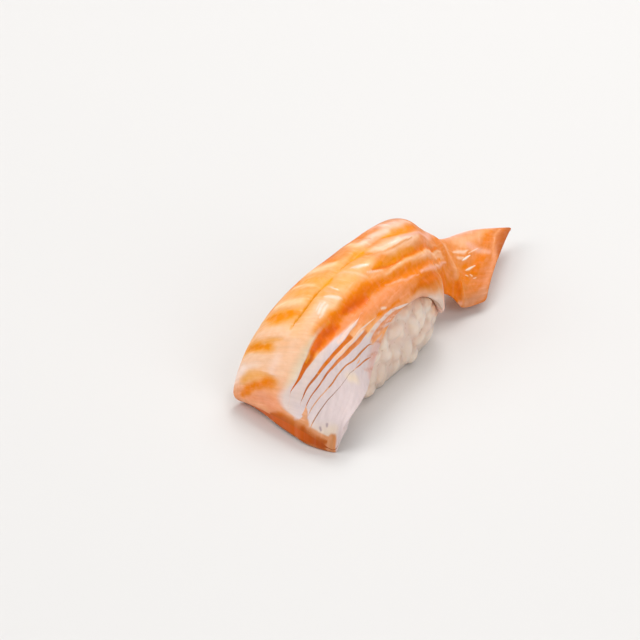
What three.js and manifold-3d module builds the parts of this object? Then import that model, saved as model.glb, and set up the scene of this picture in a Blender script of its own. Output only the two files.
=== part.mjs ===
// Salmon nigiri: a pressed block of sushi rice with one slice of raw salmon draped over it.
// Millimetres, +Z up. The origin is on the flat underside of the rice, near the middle of
// the block. +X runs along the slice, from its foot towards its twisted tail.
import * as THREE from 'three';
import { mergeVertices } from 'three/addons/utils/BufferGeometryUtils.js';
import Module from 'manifold-3d';

const wasm = await Module();
wasm.setup();

// ---- the slice: cuts across it, from the foot that stands on the board to the tail tip ----
// x, side, up : the crest of the top face at this cut
// heading, lean : the way the slice runs in plan, and how far the cut tips forwards (degrees)
// reach, drop : how far the flank goes out and down from the crest, on each side
// thick : thickness under the crest
const SLICE_CUTS = [
  { x: -34, side: -4.8, up: 4.9, heading: -13, lean: 30, left: [20, 4.8], right: [10, 4.8], thick: 4.8 },
  { x: -31, side: -3.8, up: 7.5, heading: -7, lean: 35, left: [18, 3], right: [13, 0.5], thick: 4.8 },
  { x: -27, side: -2.8, up: 13, heading: 0, lean: 30, left: [17, 6], right: [14, 5], thick: 4.8 },
  { x: -21.5, side: -1.3, up: 19, heading: 2, lean: 14, left: [16, 10], right: [14, 11], thick: 4.8 },
  { x: -12.5, side: -0.3, up: 23, heading: 2, lean: 4, left: [15.5, 13], right: [13.5, 10.5], thick: 4.8 },
  { x: -3, side: -0.3, up: 25, heading: -2, lean: 0, left: [14.5, 14], right: [13, 8.5], thick: 4.8 },
  { x: 8, side: -1.3, up: 26, heading: -6, lean: 0, left: [13, 14.5], right: [12.5, 9.8], thick: 4.8 },
  { x: 18, side: -2.3, up: 26, heading: -10, lean: -3, left: [11.5, 14], right: [12.5, 12.5], thick: 4.6 },
  { x: 24.5, side: -2.8, up: 24, heading: -20, lean: -4, left: [10.5, 12], right: [11.5, 12.5], thick: 4.4 },
  { x: 29, side: -4.3, up: 19.5, heading: -34, lean: -5, left: [8.5, 8], right: [9.5, 11], thick: 4.0 },
  { x: 33.5, side: -7.8, up: 13.5, heading: -52, lean: -4, left: [6.5, 2], right: [8, 8], thick: 3.6 },
  { x: 39.5, side: -10.8, up: 9, heading: -67, lean: -3, left: [12, 0.5], right: [11.5, 7], thick: 3.0 },
  { x: 47, side: -14.8, up: 5.5, heading: -75, lean: 0, left: [15.8, 1.3], right: [13.5, 3.5], thick: 2.6 },
];
const LAST_CUT = SLICE_CUTS.length - 1;
const HEM_THICK = 0.8;        // thickness left at the two long edges and at the tail's end
const FLANK_TURN = 78;        // degrees that each flank has turned down by its hem
const FOOT_CUTS = 1.5;        // over this many cuts the knife cut of the foot goes from upright to square
const FOOT_CURL = 0.55;       // share of the square cut that the left half of the foot keeps
const FOOT_CURL_ACROSS = [-0.3, 0.6]; // it sets in between these places across the slice
const TAIL_TAPER = 0.9;       // how far the tail thins at its end, and over how many cuts
const TAIL_TAPER_CUTS = 0.7;
// The corners of both ends are rounded off, this far along in cuts and over this share of the flank.
const FOOT_CORNER = { cuts: 0.5, across: 0.16 };
const TAIL_CORNER = { cuts: 0.16, across: 0.13 };
const CORNER_END = 0.98;      // share of a rounded corner at which the hem takes over
// A loose corner of skin hangs from the right hem, just before the tail. It starts, is full and
// ends at these cuts, begins this far out on the flank, hangs down and stands out this far in mm;
// it hangs by the power bow of the way to the hem, and has stood out sooner, by the power rise.
const FLAP = {
  from: 6.3, full: 7.7, to: 8.74, edge: 0.22, across: 0.8, drop: 4.7, bow: 1.4, flare: 2.0, rise: 0.25,
};
const HEM_CROWDING = 0.12;    // draws the mesh lines closer together towards the hems
const MEAN_REACH = 14;        // a flank's usual width, over which a gap at the hem is counted

// Folds: furrows and ridges that run along the slice and gather where it is pinched.
// from, to : where along the cuts; sideways : place across the slice (-1 right hem, +1 left hem)
// at the start, middle and end; half : half width across in mm; deep : depth in mm, ridges negative
const FOLDS = [
  { from: 1.0, to: 9.8, sideways: [0.24, -0.54, -0.60], half: 1.7, deep: 0.9 },
  { from: 2.0, to: 8.4, sideways: [0.06, -0.19, -0.30], half: 2.0, deep: -0.6 },
  { from: 2.6, to: 7.0, sideways: [0.24, 0.085, 0.0], half: 1.0, deep: 0.6 },
  { from: 4.8, to: 10.0, sideways: [-0.24, -0.48, -0.38], half: 1.3, deep: 0.5 },
  { from: 6.0, to: 9.6, sideways: [0.02, -0.17, -0.06], half: 1.5, deep: 0.5 },
  { from: 9.2, to: 11.2, sideways: [0.20, -0.40, -1.05], half: 2.0, deep: -0.8 },
  { from: 9.6, to: 12.0, sideways: [-0.10, -0.30, -0.50], half: 2.4, deep: 0.6 },
];

// ---- the rice ----
const RICE_MIDDLE = new THREE.Vector3(-1.5, -0.3, 7.0);
const RICE_HALF = new THREE.Vector3(26.9, 12.8, 15.6);
const RICE_HEADING = -6.5;    // degrees that the block is turned in plan, under the slice
const RICE_CORNER = 3.0;      // squareness in plan; 2 is an ellipse, larger is boxier
const RICE_SHOULDER = 2.4;    // squareness of the upright cuts
const RICE_FACES = [32, 18];  // faces round and up the bare block
const GRAIN = { length: 6.2, width: 2.9 };
const GRAIN_FACES = [5, 4];   // round and along one grain
const GRAIN_SPREAD = 0.14;    // grains differ from the mean size by up to this share
const GRAIN_SPACING = 3.3;    // the least distance between the middles of two grains
const GRAIN_SUNK = 0.5;       // the middle of a grain lies this far inside the bare block
const GRAIN_TRIES = 2600;
const GRAIN_SEED = 20236;
const GRAIN_TILT = 0.5;       // radians that a grain may dip out of the block's face
const GRAIN_HEIGHTS = [0.8, 21]; // grains lie between these heights
const GRAIN_UNDER_SLICE = 0.3; // a grain with more than this share in the slice's room is left out
const CONTACT_GAP = 0.95;     // room cut between the rice and the facets of the slice above it
const CUTTER_TOP = 60;        // what shapes the top of the rice reaches up to here
const FLOOR_DEPTH = 20;       // what flattens its underside reaches this far down
const FLOOR_SIDE = 200;       // and is this wide

const SLICE_MESH = { rows: 60, columns: 24 };
const CONTACT_MESH = { rows: 60, columns: 16 };

const FOLD_FADE = 0.25;       // a fold fades in and out over this share of its run
const HEM_FADE = 0.17;        // and towards the hems over this share of the flank

const UPRIGHT = new THREE.Vector3(0, 0, 1);
const radians = THREE.MathUtils.degToRad;
const mix = THREE.MathUtils.lerp;
const smooth = (t) => THREE.MathUtils.smoothstep(t, 0, 1);

// ---- shape of the slice ----

// Smooth value of one dimension between the cuts; read() picks it from a cut.
function betweenCuts(along, read) {
  const k = Math.min(Math.floor(along), LAST_CUT - 1);
  const t = along - k;
  const b = read(SLICE_CUTS[k]);
  const c = read(SLICE_CUTS[k + 1]);
  const a = k > 0 ? read(SLICE_CUTS[k - 1]) : 2 * b - c;
  const d = k < LAST_CUT - 1 ? read(SLICE_CUTS[k + 2]) : 2 * c - b;
  return b + 0.5 * t * (c - a + t * (2 * a - 5 * b + 4 * c - d + t * (3 * b - a - 3 * c + d)));
}

// How much the loose corner of skin pulls a place down, 0 to 1.
function hangingFlap(along, across) {
  const into = THREE.MathUtils.clamp((-across - FLAP.across) / (1 - FLAP.across), 0, 1) ** FLAP.bow;
  const grown = smooth((along - FLAP.from) / (FLAP.full - FLAP.from));
  return into * grown * smooth((FLAP.to - along) / FLAP.edge);
}

// Point of the smooth top face: along 0..LAST_CUT, across -1 (right hem) .. +1 (left hem).
function topPoint(along, across) {
  const heading = radians(betweenCuts(along, (cut) => cut.heading));
  const lean = radians(betweenCuts(along, (cut) => cut.lean));
  const flank = across > 0 ? 'left' : 'right';
  const reach = betweenCuts(along, (cut) => cut[flank][0]);
  const drop = betweenCuts(along, (cut) => cut[flank][1]);
  const turn = radians(FLANK_TURN);
  const flap = hangingFlap(along, across);
  const spread = reach * Math.sign(across) * Math.sin(Math.abs(across) * turn) / Math.sin(turn);
  const out = spread - FLAP.flare * flap ** FLAP.rise;
  const down = drop * (1 - Math.cos(across * turn)) / (1 - Math.cos(turn)) + FLAP.drop * flap;
  const forwards = new THREE.Vector3(Math.cos(heading), Math.sin(heading), 0);
  const leftwards = new THREE.Vector3(-Math.sin(heading), Math.cos(heading), 0);
  const downwards = new THREE.Vector3(0, 0, -Math.cos(lean)).addScaledVector(forwards, Math.sin(lean));
  return new THREE.Vector3(
    betweenCuts(along, (cut) => cut.x),
    betweenCuts(along, (cut) => cut.side),
    betweenCuts(along, (cut) => cut.up),
  ).addScaledVector(leftwards, out).addScaledVector(downwards, down);
}

function topNormal(along, across) {
  const step = 0.01;
  const onwards = topPoint(Math.min(along + step, LAST_CUT), across)
    .sub(topPoint(Math.max(along - step, 0), across));
  const leftwards = topPoint(along, across + step).sub(topPoint(along, across - step));
  return onwards.cross(leftwards).normalize();
}

// Depth of the folds at a point of the top face, in mm; ridges are negative.
function foldDepth(along, across) {
  const flank = across > 0 ? 'left' : 'right';
  const width = betweenCuts(along, (cut) => Math.hypot(...cut[flank]));
  let depth = 0;
  for (const fold of FOLDS) {
    const t = (along - fold.from) / (fold.to - fold.from);
    if (t <= 0 || t >= 1) continue;
    const [start, middle, end] = fold.sideways;
    const bow = 2 * t * (1 - t) * (2 * middle - start - end);
    const place = mix(start, end, t) + bow;
    const away = (across - place) * width / fold.half;
    const fade = smooth(Math.min(t, 1 - t) / FOLD_FADE);
    depth += fold.deep * fade * Math.exp(-away * away);
  }
  const hemFade = smooth((1 - Math.abs(across)) / HEM_FADE);
  return depth * hemFade;
}

// Where the two faces of the slice are at one place: a point of the top face without folds,
// the direction out of it, and the matching point of the underside, `gap` clear of it.
function sliceAt(along, across, gap) {
  const taper = Math.max(0, (along - LAST_CUT + TAIL_TAPER_CUTS) / TAIL_TAPER_CUTS);
  const middleThick = betweenCuts(along, (cut) => cut.thick) * Math.sqrt(1 - TAIL_TAPER * taper ** 4);
  const inwards = across / (1 + gap / MEAN_REACH);
  const thick = HEM_THICK + (middleThick - HEM_THICK) * Math.sqrt(Math.max(1 - inwards ** 4, 0));
  const top = topPoint(along, across);
  const outwards = topNormal(along, across);
  const curl = FOOT_CURL * THREE.MathUtils.smoothstep(across, ...FOOT_CURL_ACROSS);
  const square = Math.max(smooth(along / FOOT_CUTS), curl);
  const towardsTop = UPRIGHT.clone().lerp(outwards, square).normalize();
  const under = top.clone().addScaledVector(towardsTop, -thick - gap);
  return { top, outwards, under };
}

// A closed mesh between two sheets of rows x columns points, given by place(row, column).
function closedSheet(rows, columns, place) {
  const top = [];
  const under = [];
  for (let i = 0; i <= rows; i += 1) {
    for (let j = 0; j <= columns; j += 1) {
      const pair = place(i, j);
      top.push(pair.top);
      under.push(pair.under);
    }
  }
  const faces = [];
  const quad = (a, b, c, d) => faces.push(a, b, c, a, c, d);
  const row = columns + 1;
  const below = top.length;
  for (let i = 0; i < rows; i += 1) {
    for (let j = 0; j < columns; j += 1) {
      const a = i * row + j;
      quad(a, a + row, a + row + 1, a + 1);
      quad(below + a, below + a + 1, below + a + row + 1, below + a + row);
    }
    const first = i * row;
    const last = first + columns;
    quad(first, below + first, below + first + row, first + row);
    quad(last, last + row, below + last + row, below + last);
  }
  for (let j = 0; j < columns; j += 1) {
    const end = rows * row + j;
    quad(j, j + 1, below + j + 1, below + j);
    quad(end, below + end, below + end + 1, end + 1);
  }
  const geometry = new THREE.BufferGeometry();
  const positions = [...top, ...under].flatMap((point) => point.toArray());
  geometry.setAttribute('position', new THREE.Float32BufferAttribute(positions, 3));
  geometry.setIndex(faces);
  return geometry;
}

// How far in from the end the slice starts, in cuts, where its corner is rounded off.
function cornerIn(across, corner) {
  const into = THREE.MathUtils.clamp((Math.abs(across) - 1 + corner.across) / corner.across, 0, CORNER_END);
  return corner.cuts * (1 - Math.sqrt(1 - into * into));
}

// The slice itself, its underside no lower than the board.
function sliceGeometry() {
  const { rows, columns } = SLICE_MESH;
  return closedSheet(rows, columns, (i, j) => {
    const even = (2 * j) / columns - 1;
    const across = even + HEM_CROWDING * Math.sin(Math.PI * even);
    const start = cornerIn(across, FOOT_CORNER);
    const along = mix(start, LAST_CUT - cornerIn(across, TAIL_CORNER), i / rows);
    const { top, outwards, under } = sliceAt(along, across, 0);
    top.addScaledVector(outwards, -foldDepth(along, across));
    under.z = Math.max(under.z, 0);
    return { top, under };
  });
}

// All the room that the slice takes from the rice: everything above its underside and its two
// hems, and all that is in front of its foot, with a gap.
function roomAboveRice() {
  const { rows, columns } = CONTACT_MESH;
  return closedSheet(rows, columns + 2, (i, j) => {
    const along = (i / rows) * LAST_CUT;
    const even = THREE.MathUtils.clamp((2 * (j - 1)) / columns - 1, -1, 1);
    const room = sliceAt(along, even * (1 + CONTACT_GAP / MEAN_REACH), CONTACT_GAP);
    const pastHem = j === 0 || j === columns + 2;
    const outside = pastHem || i === 0;
    const under = outside ? room.top.addScaledVector(room.outwards, CONTACT_GAP) : room.under;
    if (i === 0) under.z = -FLOOR_DEPTH;
    const top = under.clone().setZ(CUTTER_TOP);
    return { top, under };
  });
}

// ---- shape of the rice ----

// Point of the bare block, with its outward direction, at a bearing and a height.
function ricePoint(bearing, height) {
  const up = (height - RICE_MIDDLE.z) / RICE_HALF.z;
  const girth = (1 - Math.abs(up) ** RICE_SHOULDER) ** (1 / RICE_SHOULDER);
  const plan = (Math.abs(Math.cos(bearing)) ** RICE_CORNER + Math.abs(Math.sin(bearing)) ** RICE_CORNER)
    ** (1 / RICE_CORNER);
  const unit = new THREE.Vector3((girth * Math.cos(bearing)) / plan, (girth * Math.sin(bearing)) / plan, up);
  const slope = (value, power) => Math.sign(value) * Math.abs(value) ** (power - 1);
  const ring = girth ** (RICE_SHOULDER - RICE_CORNER);
  const outward = new THREE.Vector3(
    (ring * slope(unit.x, RICE_CORNER)) / RICE_HALF.x,
    (ring * slope(unit.y, RICE_CORNER)) / RICE_HALF.y,
    slope(unit.z, RICE_SHOULDER) / RICE_HALF.z,
  ).normalize();
  const turn = radians(RICE_HEADING);
  const place = unit.multiply(RICE_HALF).applyAxisAngle(UPRIGHT, turn).add(RICE_MIDDLE);
  return { place, outward: outward.applyAxisAngle(UPRIGHT, turn) };
}

// The bare block before it is trimmed: a ball pushed out to a boxy, round-shouldered form.
function riceBlock() {
  const geometry = new THREE.SphereGeometry(1, ...RICE_FACES);
  const place = geometry.attributes.position;
  const point = new THREE.Vector3();
  for (let i = 0; i < place.count; i += 1) {
    point.fromBufferAttribute(place, i);
    const plan = (Math.abs(point.x) ** RICE_CORNER + Math.abs(point.y) ** RICE_CORNER)
      ** (RICE_SHOULDER / RICE_CORNER);
    point.multiplyScalar((plan + Math.abs(point.z) ** RICE_SHOULDER) ** (-1 / RICE_SHOULDER));
    point.multiply(RICE_HALF).applyAxisAngle(UPRIGHT, radians(RICE_HEADING)).add(RICE_MIDDLE);
    place.setXYZ(i, point.x, point.y, point.z);
  }
  return geometry;
}

// Repeatable random numbers, 0 to 1.
function seededRandom(seed) {
  let state = seed;
  return () => {
    state = (state + 0x6d2b79f5) | 0;
    let mixed = Math.imul(state ^ (state >>> 15), 1 | state);
    mixed = (mixed + Math.imul(mixed ^ (mixed >>> 7), 61 | mixed)) ^ mixed;
    return ((mixed ^ (mixed >>> 14)) >>> 0) / 4294967296;
  };
}

// Places for the grains that show, evenly spread over the block's sides.
function grainPlaces() {
  const random = seededRandom(GRAIN_SEED);
  const places = [];
  for (let i = 0; i < GRAIN_TRIES; i += 1) {
    const height = mix(...GRAIN_HEIGHTS, random());
    const { place, outward } = ricePoint(random() * 2 * Math.PI, height);
    const turn = random() * Math.PI;
    const size = 1 + GRAIN_SPREAD * (2 * random() - 1);
    const dip = GRAIN_TILT * (2 * random() - 1);
    if (places.some((other) => other.place.distanceTo(place) < GRAIN_SPACING)) continue;
    places.push({ place, outward, turn, size, dip });
  }
  return places;
}

function grainGeometry({ place, outward, turn, size, dip }) {
  const geometry = new THREE.SphereGeometry(1, ...GRAIN_FACES);
  geometry.scale((size * GRAIN.width) / 2, (size * GRAIN.length) / 2, (size * GRAIN.width) / 2);
  geometry.rotateX(dip);
  geometry.rotateZ(turn);
  geometry.applyQuaternion(new THREE.Quaternion().setFromUnitVectors(UPRIGHT, outward));
  const middle = place.clone().addScaledVector(outward, -GRAIN_SUNK);
  geometry.translate(middle.x, middle.y, middle.z);
  return geometry;
}

// ---- joining and cutting ----

function solidOf(geometry) {
  const bare = geometry.clone();
  bare.deleteAttribute('normal');
  bare.deleteAttribute('uv');
  const merged = mergeVertices(bare, 1e-5);
  return new wasm.Manifold(new wasm.Mesh({
    numProp: 3,
    vertProperties: new Float32Array(merged.attributes.position.array),
    triVerts: new Uint32Array(merged.index.array),
  }));
}

function geometryOf(solid) {
  const mesh = solid.getMesh();
  const geometry = new THREE.BufferGeometry();
  geometry.setAttribute('position', new THREE.BufferAttribute(mesh.vertProperties, 3));
  geometry.setIndex(new THREE.BufferAttribute(mesh.triVerts, 1));
  geometry.computeVertexNormals();
  return geometry;
}

// The rice: block and grains as one, fitted under the slice and flat underneath.
function riceSolid() {
  const above = solidOf(roomAboveRice());
  const floor = new THREE.BoxGeometry(FLOOR_SIDE, FLOOR_SIDE, FLOOR_DEPTH).translate(0, 0, -FLOOR_DEPTH / 2);
  const grains = grainPlaces()
    .map((grain) => solidOf(grainGeometry(grain)))
    .filter((grain) => grain.intersect(above).volume() < GRAIN_UNDER_SLICE * grain.volume());
  const heap = wasm.Manifold.union([solidOf(riceBlock()), ...grains])
    .subtract(above)
    .subtract(solidOf(floor));
  const pieces = heap.decompose().sort((a, b) => b.volume() - a.volume());
  return pieces[0];
}

// ---- the pieces ----

const salmonFlesh = new THREE.MeshStandardMaterial({ color: '#f0803c', roughness: 0.28, metalness: 0 });
const cookedRice = new THREE.MeshStandardMaterial({ color: '#e6dfd4', roughness: 0.45, metalness: 0 });

const salmonSlice = new THREE.Mesh(geometryOf(solidOf(sliceGeometry())), salmonFlesh);
salmonSlice.name = 'salmon_slice';

const riceHeap = new THREE.Mesh(geometryOf(riceSolid()), cookedRice);
riceHeap.name = 'rice_block';

const nigiri = new THREE.Group();
nigiri.add(riceHeap, salmonSlice);

export default nigiri;
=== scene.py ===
# Salmon nigiri: one slice of raw salmon draped over a pressed block of cooked sushi rice.
# Metres, +Z up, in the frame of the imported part. Sizes of the food are written in millimetres.
import math

import bpy
import numpy as np
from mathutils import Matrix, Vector
from mathutils.bvhtree import BVHTree
from mathutils.kdtree import KDTree


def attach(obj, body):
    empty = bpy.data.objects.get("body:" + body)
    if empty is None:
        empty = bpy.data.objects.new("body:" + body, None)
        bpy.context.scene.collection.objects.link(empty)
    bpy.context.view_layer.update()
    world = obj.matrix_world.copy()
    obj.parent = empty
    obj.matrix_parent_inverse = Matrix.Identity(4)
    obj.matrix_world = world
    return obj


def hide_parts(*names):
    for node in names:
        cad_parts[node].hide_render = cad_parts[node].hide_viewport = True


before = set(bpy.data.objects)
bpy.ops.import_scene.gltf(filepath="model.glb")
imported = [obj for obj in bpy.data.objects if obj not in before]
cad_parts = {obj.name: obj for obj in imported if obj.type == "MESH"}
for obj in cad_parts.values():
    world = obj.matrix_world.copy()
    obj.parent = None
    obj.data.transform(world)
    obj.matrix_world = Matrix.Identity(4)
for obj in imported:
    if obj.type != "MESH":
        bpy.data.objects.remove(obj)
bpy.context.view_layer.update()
MM = 0.001

# ---- the slice of salmon ----
# One slice of raw belly salmon, cut about 5 mm thick and laid over the rice. Its foot hangs
# down to the board, its two hems thin out, and behind the rice it is pinched into folds and
# fans out again as a twisted tail. The right flank is the white fat side of the belly.

# Cuts across the slice, foot to tail tip: x, side and up of the crest, heading and lean in
# degrees, reach and drop of the left flank, reach and drop of the right flank, thickness.
SLICE_CUTS = np.array([
    (-34.0, -4.8, 4.9, -13, 30, 20.0, 4.8, 10.0, 4.8, 4.8),
    (-31.0, -3.8, 7.5, -7, 35, 18.0, 3.0, 13.0, 0.5, 4.8),
    (-27.0, -2.8, 13.0, 0, 30, 17.0, 6.0, 14.0, 5.0, 4.8),
    (-21.5, -1.3, 19.0, 2, 14, 16.0, 10.0, 14.0, 11.0, 4.8),
    (-12.5, -0.3, 23.0, 2, 4, 15.5, 13.0, 13.5, 10.5, 4.8),
    (-3.0, -0.3, 25.0, -2, 0, 14.5, 14.0, 13.0, 8.5, 4.8),
    (8.0, -1.3, 26.0, -6, 0, 13.0, 14.5, 12.5, 9.8, 4.8),
    (18.0, -2.3, 26.0, -10, -3, 11.5, 14.0, 12.5, 12.5, 4.6),
    (24.5, -2.8, 24.0, -20, -4, 10.5, 12.0, 11.5, 12.5, 4.4),
    (29.0, -4.3, 19.5, -34, -5, 8.5, 8.0, 9.5, 11.0, 4.0),
    (33.5, -7.8, 13.5, -52, -4, 6.5, 2.0, 8.0, 8.0, 3.6),
    (39.5, -10.8, 9.0, -67, -3, 12.0, 0.5, 11.5, 7.0, 3.0),
    (47.0, -14.8, 5.5, -75, 0, 15.8, 1.3, 13.5, 3.5, 2.6),
])
(CREST_X, CREST_SIDE, CREST_UP, HEADING, LEAN,
 LEFT_REACH, LEFT_DROP, RIGHT_REACH, RIGHT_DROP, THICK) = range(10)
LAST_CUT = len(SLICE_CUTS) - 1
FLANK_TURN = math.radians(78)   # how far each flank has turned down by its hem
HEM_THICK = 0.8
HEM_POWER = 4                   # how far out towards the hems the full thickness holds
FOOT_CUTS = 1.5                 # cuts over which the knife cut of the foot turns square
FOOT_CURL = 0.55                # share of the square cut that the foot's left half keeps
FOOT_CURL_ACROSS = (-0.3, 0.6)
TAIL_TAPER = 0.9                # how far the tail thins to its tip,
TAIL_TAPER_CUTS = 0.7           # over how many cuts,
TAIL_TAPER_POWER = 4            # and how late
# A loose corner of the slice hangs from the right hem just before the tail.
FLAP_CUTS = (6.3, 7.7, 8.52, 8.74)  # where it starts, is full, is still full and ends
FLAP_ACROSS = 0.8               # it hangs from here to the hem
FLAP_DROP = 4.7
FLAP_FLARE = 2.0                # how far it stands out
FLAP_BOW = 1.4                  # how late it turns down, and how soon it stands out
FLAP_SPRING = 0.25

# The main folds: where along the cuts they start and end, their place across the slice at
# start, middle and end (-1 right hem, +1 left hem), half width and depth; ridges negative.
FOLDS = [
    (1.0, 9.8, (0.24, -0.54, -0.60), 1.7, 0.9),
    (2.0, 8.4, (0.06, -0.19, -0.30), 2.0, -0.6),
    (2.6, 7.0, (0.24, 0.085, 0.0), 1.0, 0.6),
    (4.8, 10.0, (-0.24, -0.48, -0.38), 1.3, 0.5),
    (6.0, 9.6, (0.02, -0.17, -0.06), 1.5, 0.5),
    (9.2, 11.2, (0.20, -0.40, -1.05), 2.0, -0.8),
    (9.6, 12.0, (-0.10, -0.30, -0.50), 2.4, 0.6),
]
FOLD_FADE = 0.25                # share of its length over which a fold rises and dies away
HEM_FADE = 0.17                 # share of the flank, in from the hem, that folds leave flat


def smooth(t, low=0.0, high=1.0):
    """Eased rise from 0 at low to 1 at high."""
    t = np.clip((t - low) / (high - low), 0, 1)
    return t * t * (3 - 2 * t)


def curve_through(values, at):
    """Smooth curve through evenly spaced values, read at these places along it."""
    padded = np.concatenate([[2 * values[0] - values[1]], values, [2 * values[-1] - values[-2]]])
    k = np.clip(np.floor(at).astype(int), 0, len(values) - 2)
    t = at - k
    a, b, c, d = (padded[k + i] for i in range(4))
    return b + 0.5 * t * (c - a + t * (2 * a - 5 * b + 4 * c - d + t * (3 * b - a - 3 * c + d)))


def between_cuts(along, column):
    return curve_through(SLICE_CUTS[:, column], along)


def flank(along, across, left, right):
    return np.where(across > 0, between_cuts(along, left), between_cuts(along, right))


def hanging_flap(along, across):
    """How much the loose corner pulls a place of the slice down, 0 to 1."""
    into = np.clip((-across - FLAP_ACROSS) / (1 - FLAP_ACROSS), 0, 1) ** FLAP_BOW
    start, full, still_full, end = FLAP_CUTS
    return into * smooth(along, start, full) * (1 - smooth(along, still_full, end))


def top_of_slice(along, across):
    """Points of the slice's upper face, in mm, before its folds."""
    heading = np.radians(between_cuts(along, HEADING))
    lean = np.radians(between_cuts(along, LEAN))
    turn = np.abs(across) * FLANK_TURN
    out = flank(along, across, LEFT_REACH, RIGHT_REACH) * np.sign(across)
    flap = hanging_flap(along, across)
    out = out * np.sin(turn) / math.sin(FLANK_TURN) - FLAP_FLARE * flap ** FLAP_SPRING
    down = flank(along, across, LEFT_DROP, RIGHT_DROP)
    down = down * (1 - np.cos(turn)) / (1 - math.cos(FLANK_TURN)) + FLAP_DROP * flap
    forwards = np.stack([np.cos(heading), np.sin(heading), 0 * heading], -1)
    leftwards = np.stack([-np.sin(heading), np.cos(heading), 0 * heading], -1)
    downwards = forwards * np.sin(lean)[..., None]
    downwards[..., 2] -= np.cos(lean)
    crest = [between_cuts(along, column) for column in (CREST_X, CREST_SIDE, CREST_UP)]
    return np.stack(crest, -1) + leftwards * out[..., None] + downwards * down[..., None]


def unit(vectors):
    return vectors / np.linalg.norm(vectors, axis=-1, keepdims=True)


def out_of_slice(along, across):
    """The way straight out of the upper face."""
    step = 0.01
    onwards = top_of_slice(np.minimum(along + step, LAST_CUT), across)
    onwards = onwards - top_of_slice(np.maximum(along - step, 0), across)
    leftwards = top_of_slice(along, across + step) - top_of_slice(along, across - step)
    return unit(np.cross(onwards, leftwards))


def flank_width(along, across):
    reach = flank(along, across, LEFT_REACH, RIGHT_REACH)
    drop = flank(along, across, LEFT_DROP, RIGHT_DROP)
    return np.hypot(reach, drop)


def fold_depth(along, across):
    """How deep the main folds lie at each place, in mm."""
    depth = np.zeros_like(along)
    for start, end, (first, middle, last), half, deep in FOLDS:
        t = np.clip((along - start) / (end - start), 0, 1)
        place = first + (last - first) * t + 2 * t * (1 - t) * (2 * middle - first - last)
        away = (across - place) * flank_width(along, across) / half
        depth += deep * smooth(np.minimum(t, 1 - t) / FOLD_FADE) * np.exp(-away ** 2)
    return depth * smooth((1 - np.abs(across)) / HEM_FADE)


# Where each place lies on the slice laid out flat, in mm: run along the crest from the foot,
# and girth across from it.
STEPS_A_CUT = 20
RUN_STEPS = np.linspace(0, LAST_CUT, STEPS_A_CUT * LAST_CUT + 1)
crest_line = top_of_slice(RUN_STEPS, 0 * RUN_STEPS)
crest_legs = np.linalg.norm(np.diff(crest_line, axis=0), axis=1)
RUN_LENGTHS = np.concatenate([[0.0], np.cumsum(crest_legs)])


def laid_flat(along, across):
    return np.interp(along, RUN_STEPS, RUN_LENGTHS), across * flank_width(along, across)


# Fine rows and columns of the sheet, closer together at the cut ends and the hems.
SLICE_ROWS = 320
SLICE_COLUMNS = 128
EDGE_STEPS = 7                  # closer rows or columns at each edge, over these many cuts
FOOT_EDGE = 0.16                # or this share of the flank
TAIL_EDGE = 0.10
HEM_EDGE = 0.04
END_STEPS = 10                  # down the cut face of the foot
FOOT_CORNER = (0.5, 0.16)       # how far the corners of each end are rounded off: along in
TAIL_CORNER = (0.16, 0.13)      # cuts, and across as a share of the flank
CORNER_TURN = 0.98              # how much of its quarter turn a corner makes
edge = np.linspace(0, 1, EDGE_STEPS + 1)[:-1] ** 2
row_at = np.concatenate([
    edge * FOOT_EDGE,
    np.linspace(FOOT_EDGE, LAST_CUT - TAIL_EDGE, SLICE_ROWS),
    LAST_CUT - edge[::-1] * TAIL_EDGE,
])
column_at = np.concatenate([
    -1 + edge * HEM_EDGE,
    np.linspace(HEM_EDGE - 1, 1 - HEM_EDGE, SLICE_COLUMNS),
    1 - edge[::-1] * HEM_EDGE,
])
along, across = np.meshgrid(row_at / LAST_CUT, column_at, indexing="ij")


def corner(across, cuts, share):
    """How far in from the end the sheet starts, in cuts, where its corner is rounded off."""
    into = np.clip((np.abs(across) - 1 + share) / share, 0, CORNER_TURN)
    return cuts * (1 - np.sqrt(1 - into ** 2))


sheet_start = corner(across, *FOOT_CORNER)
along = sheet_start + (LAST_CUT - corner(across, *TAIL_CORNER) - sheet_start) * along
rows, columns = along.shape
run, girth = laid_flat(along, across)

# Nothing on real flesh is quite straight: strokes and lines sway by sums of a few waves. Each
# sway: how far, how far apart its swells are, both in mm, and its seed.
WAVES = 7
SHORTEST_WAVE = 0.7             # share of the spacing, and how much more the longest has
WAVE_SPREAD = 0.8
WAVES_TOGETHER = 2.6            # brings their sum to about -1 to 1
RUN_SWAYS = [(0.22, 7.0, 3), (0.05, 2.2, 4)]
GIRTH_SWAYS = [(0.16, 6.0, 5), (0.04, 2.0, 6)]
LINE_SWAYS = [(0.05, 3.0, 11)]


def swayed(values, sways):
    for far, spacing, seed in sways:
        drift = np.zeros_like(run)
        for bearing, phase, size in np.random.default_rng(seed).random((WAVES, 3)):
            turn = 2 * math.pi * bearing
            wave = 2 * math.pi / (spacing * (SHORTEST_WAVE + WAVE_SPREAD * size))
            way = run * math.cos(turn) + girth * math.sin(turn)
            drift += np.sin(wave * way + 2 * math.pi * phase)
        values = values + far * (drift / WAVES_TOGETHER)
    return values


loose_run = swayed(run, RUN_SWAYS)
loose_girth = swayed(girth, GIRTH_SWAYS)

STROKE_LEGS = 7                 # straight legs between two places of a stroke
STROKE_THIN = 0.02              # mm
STROKE_REACH = 2.2              # a stroke is worked out this many half widths past its line,
STROKE_MARGIN = 1.5             # and these mm more


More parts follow.
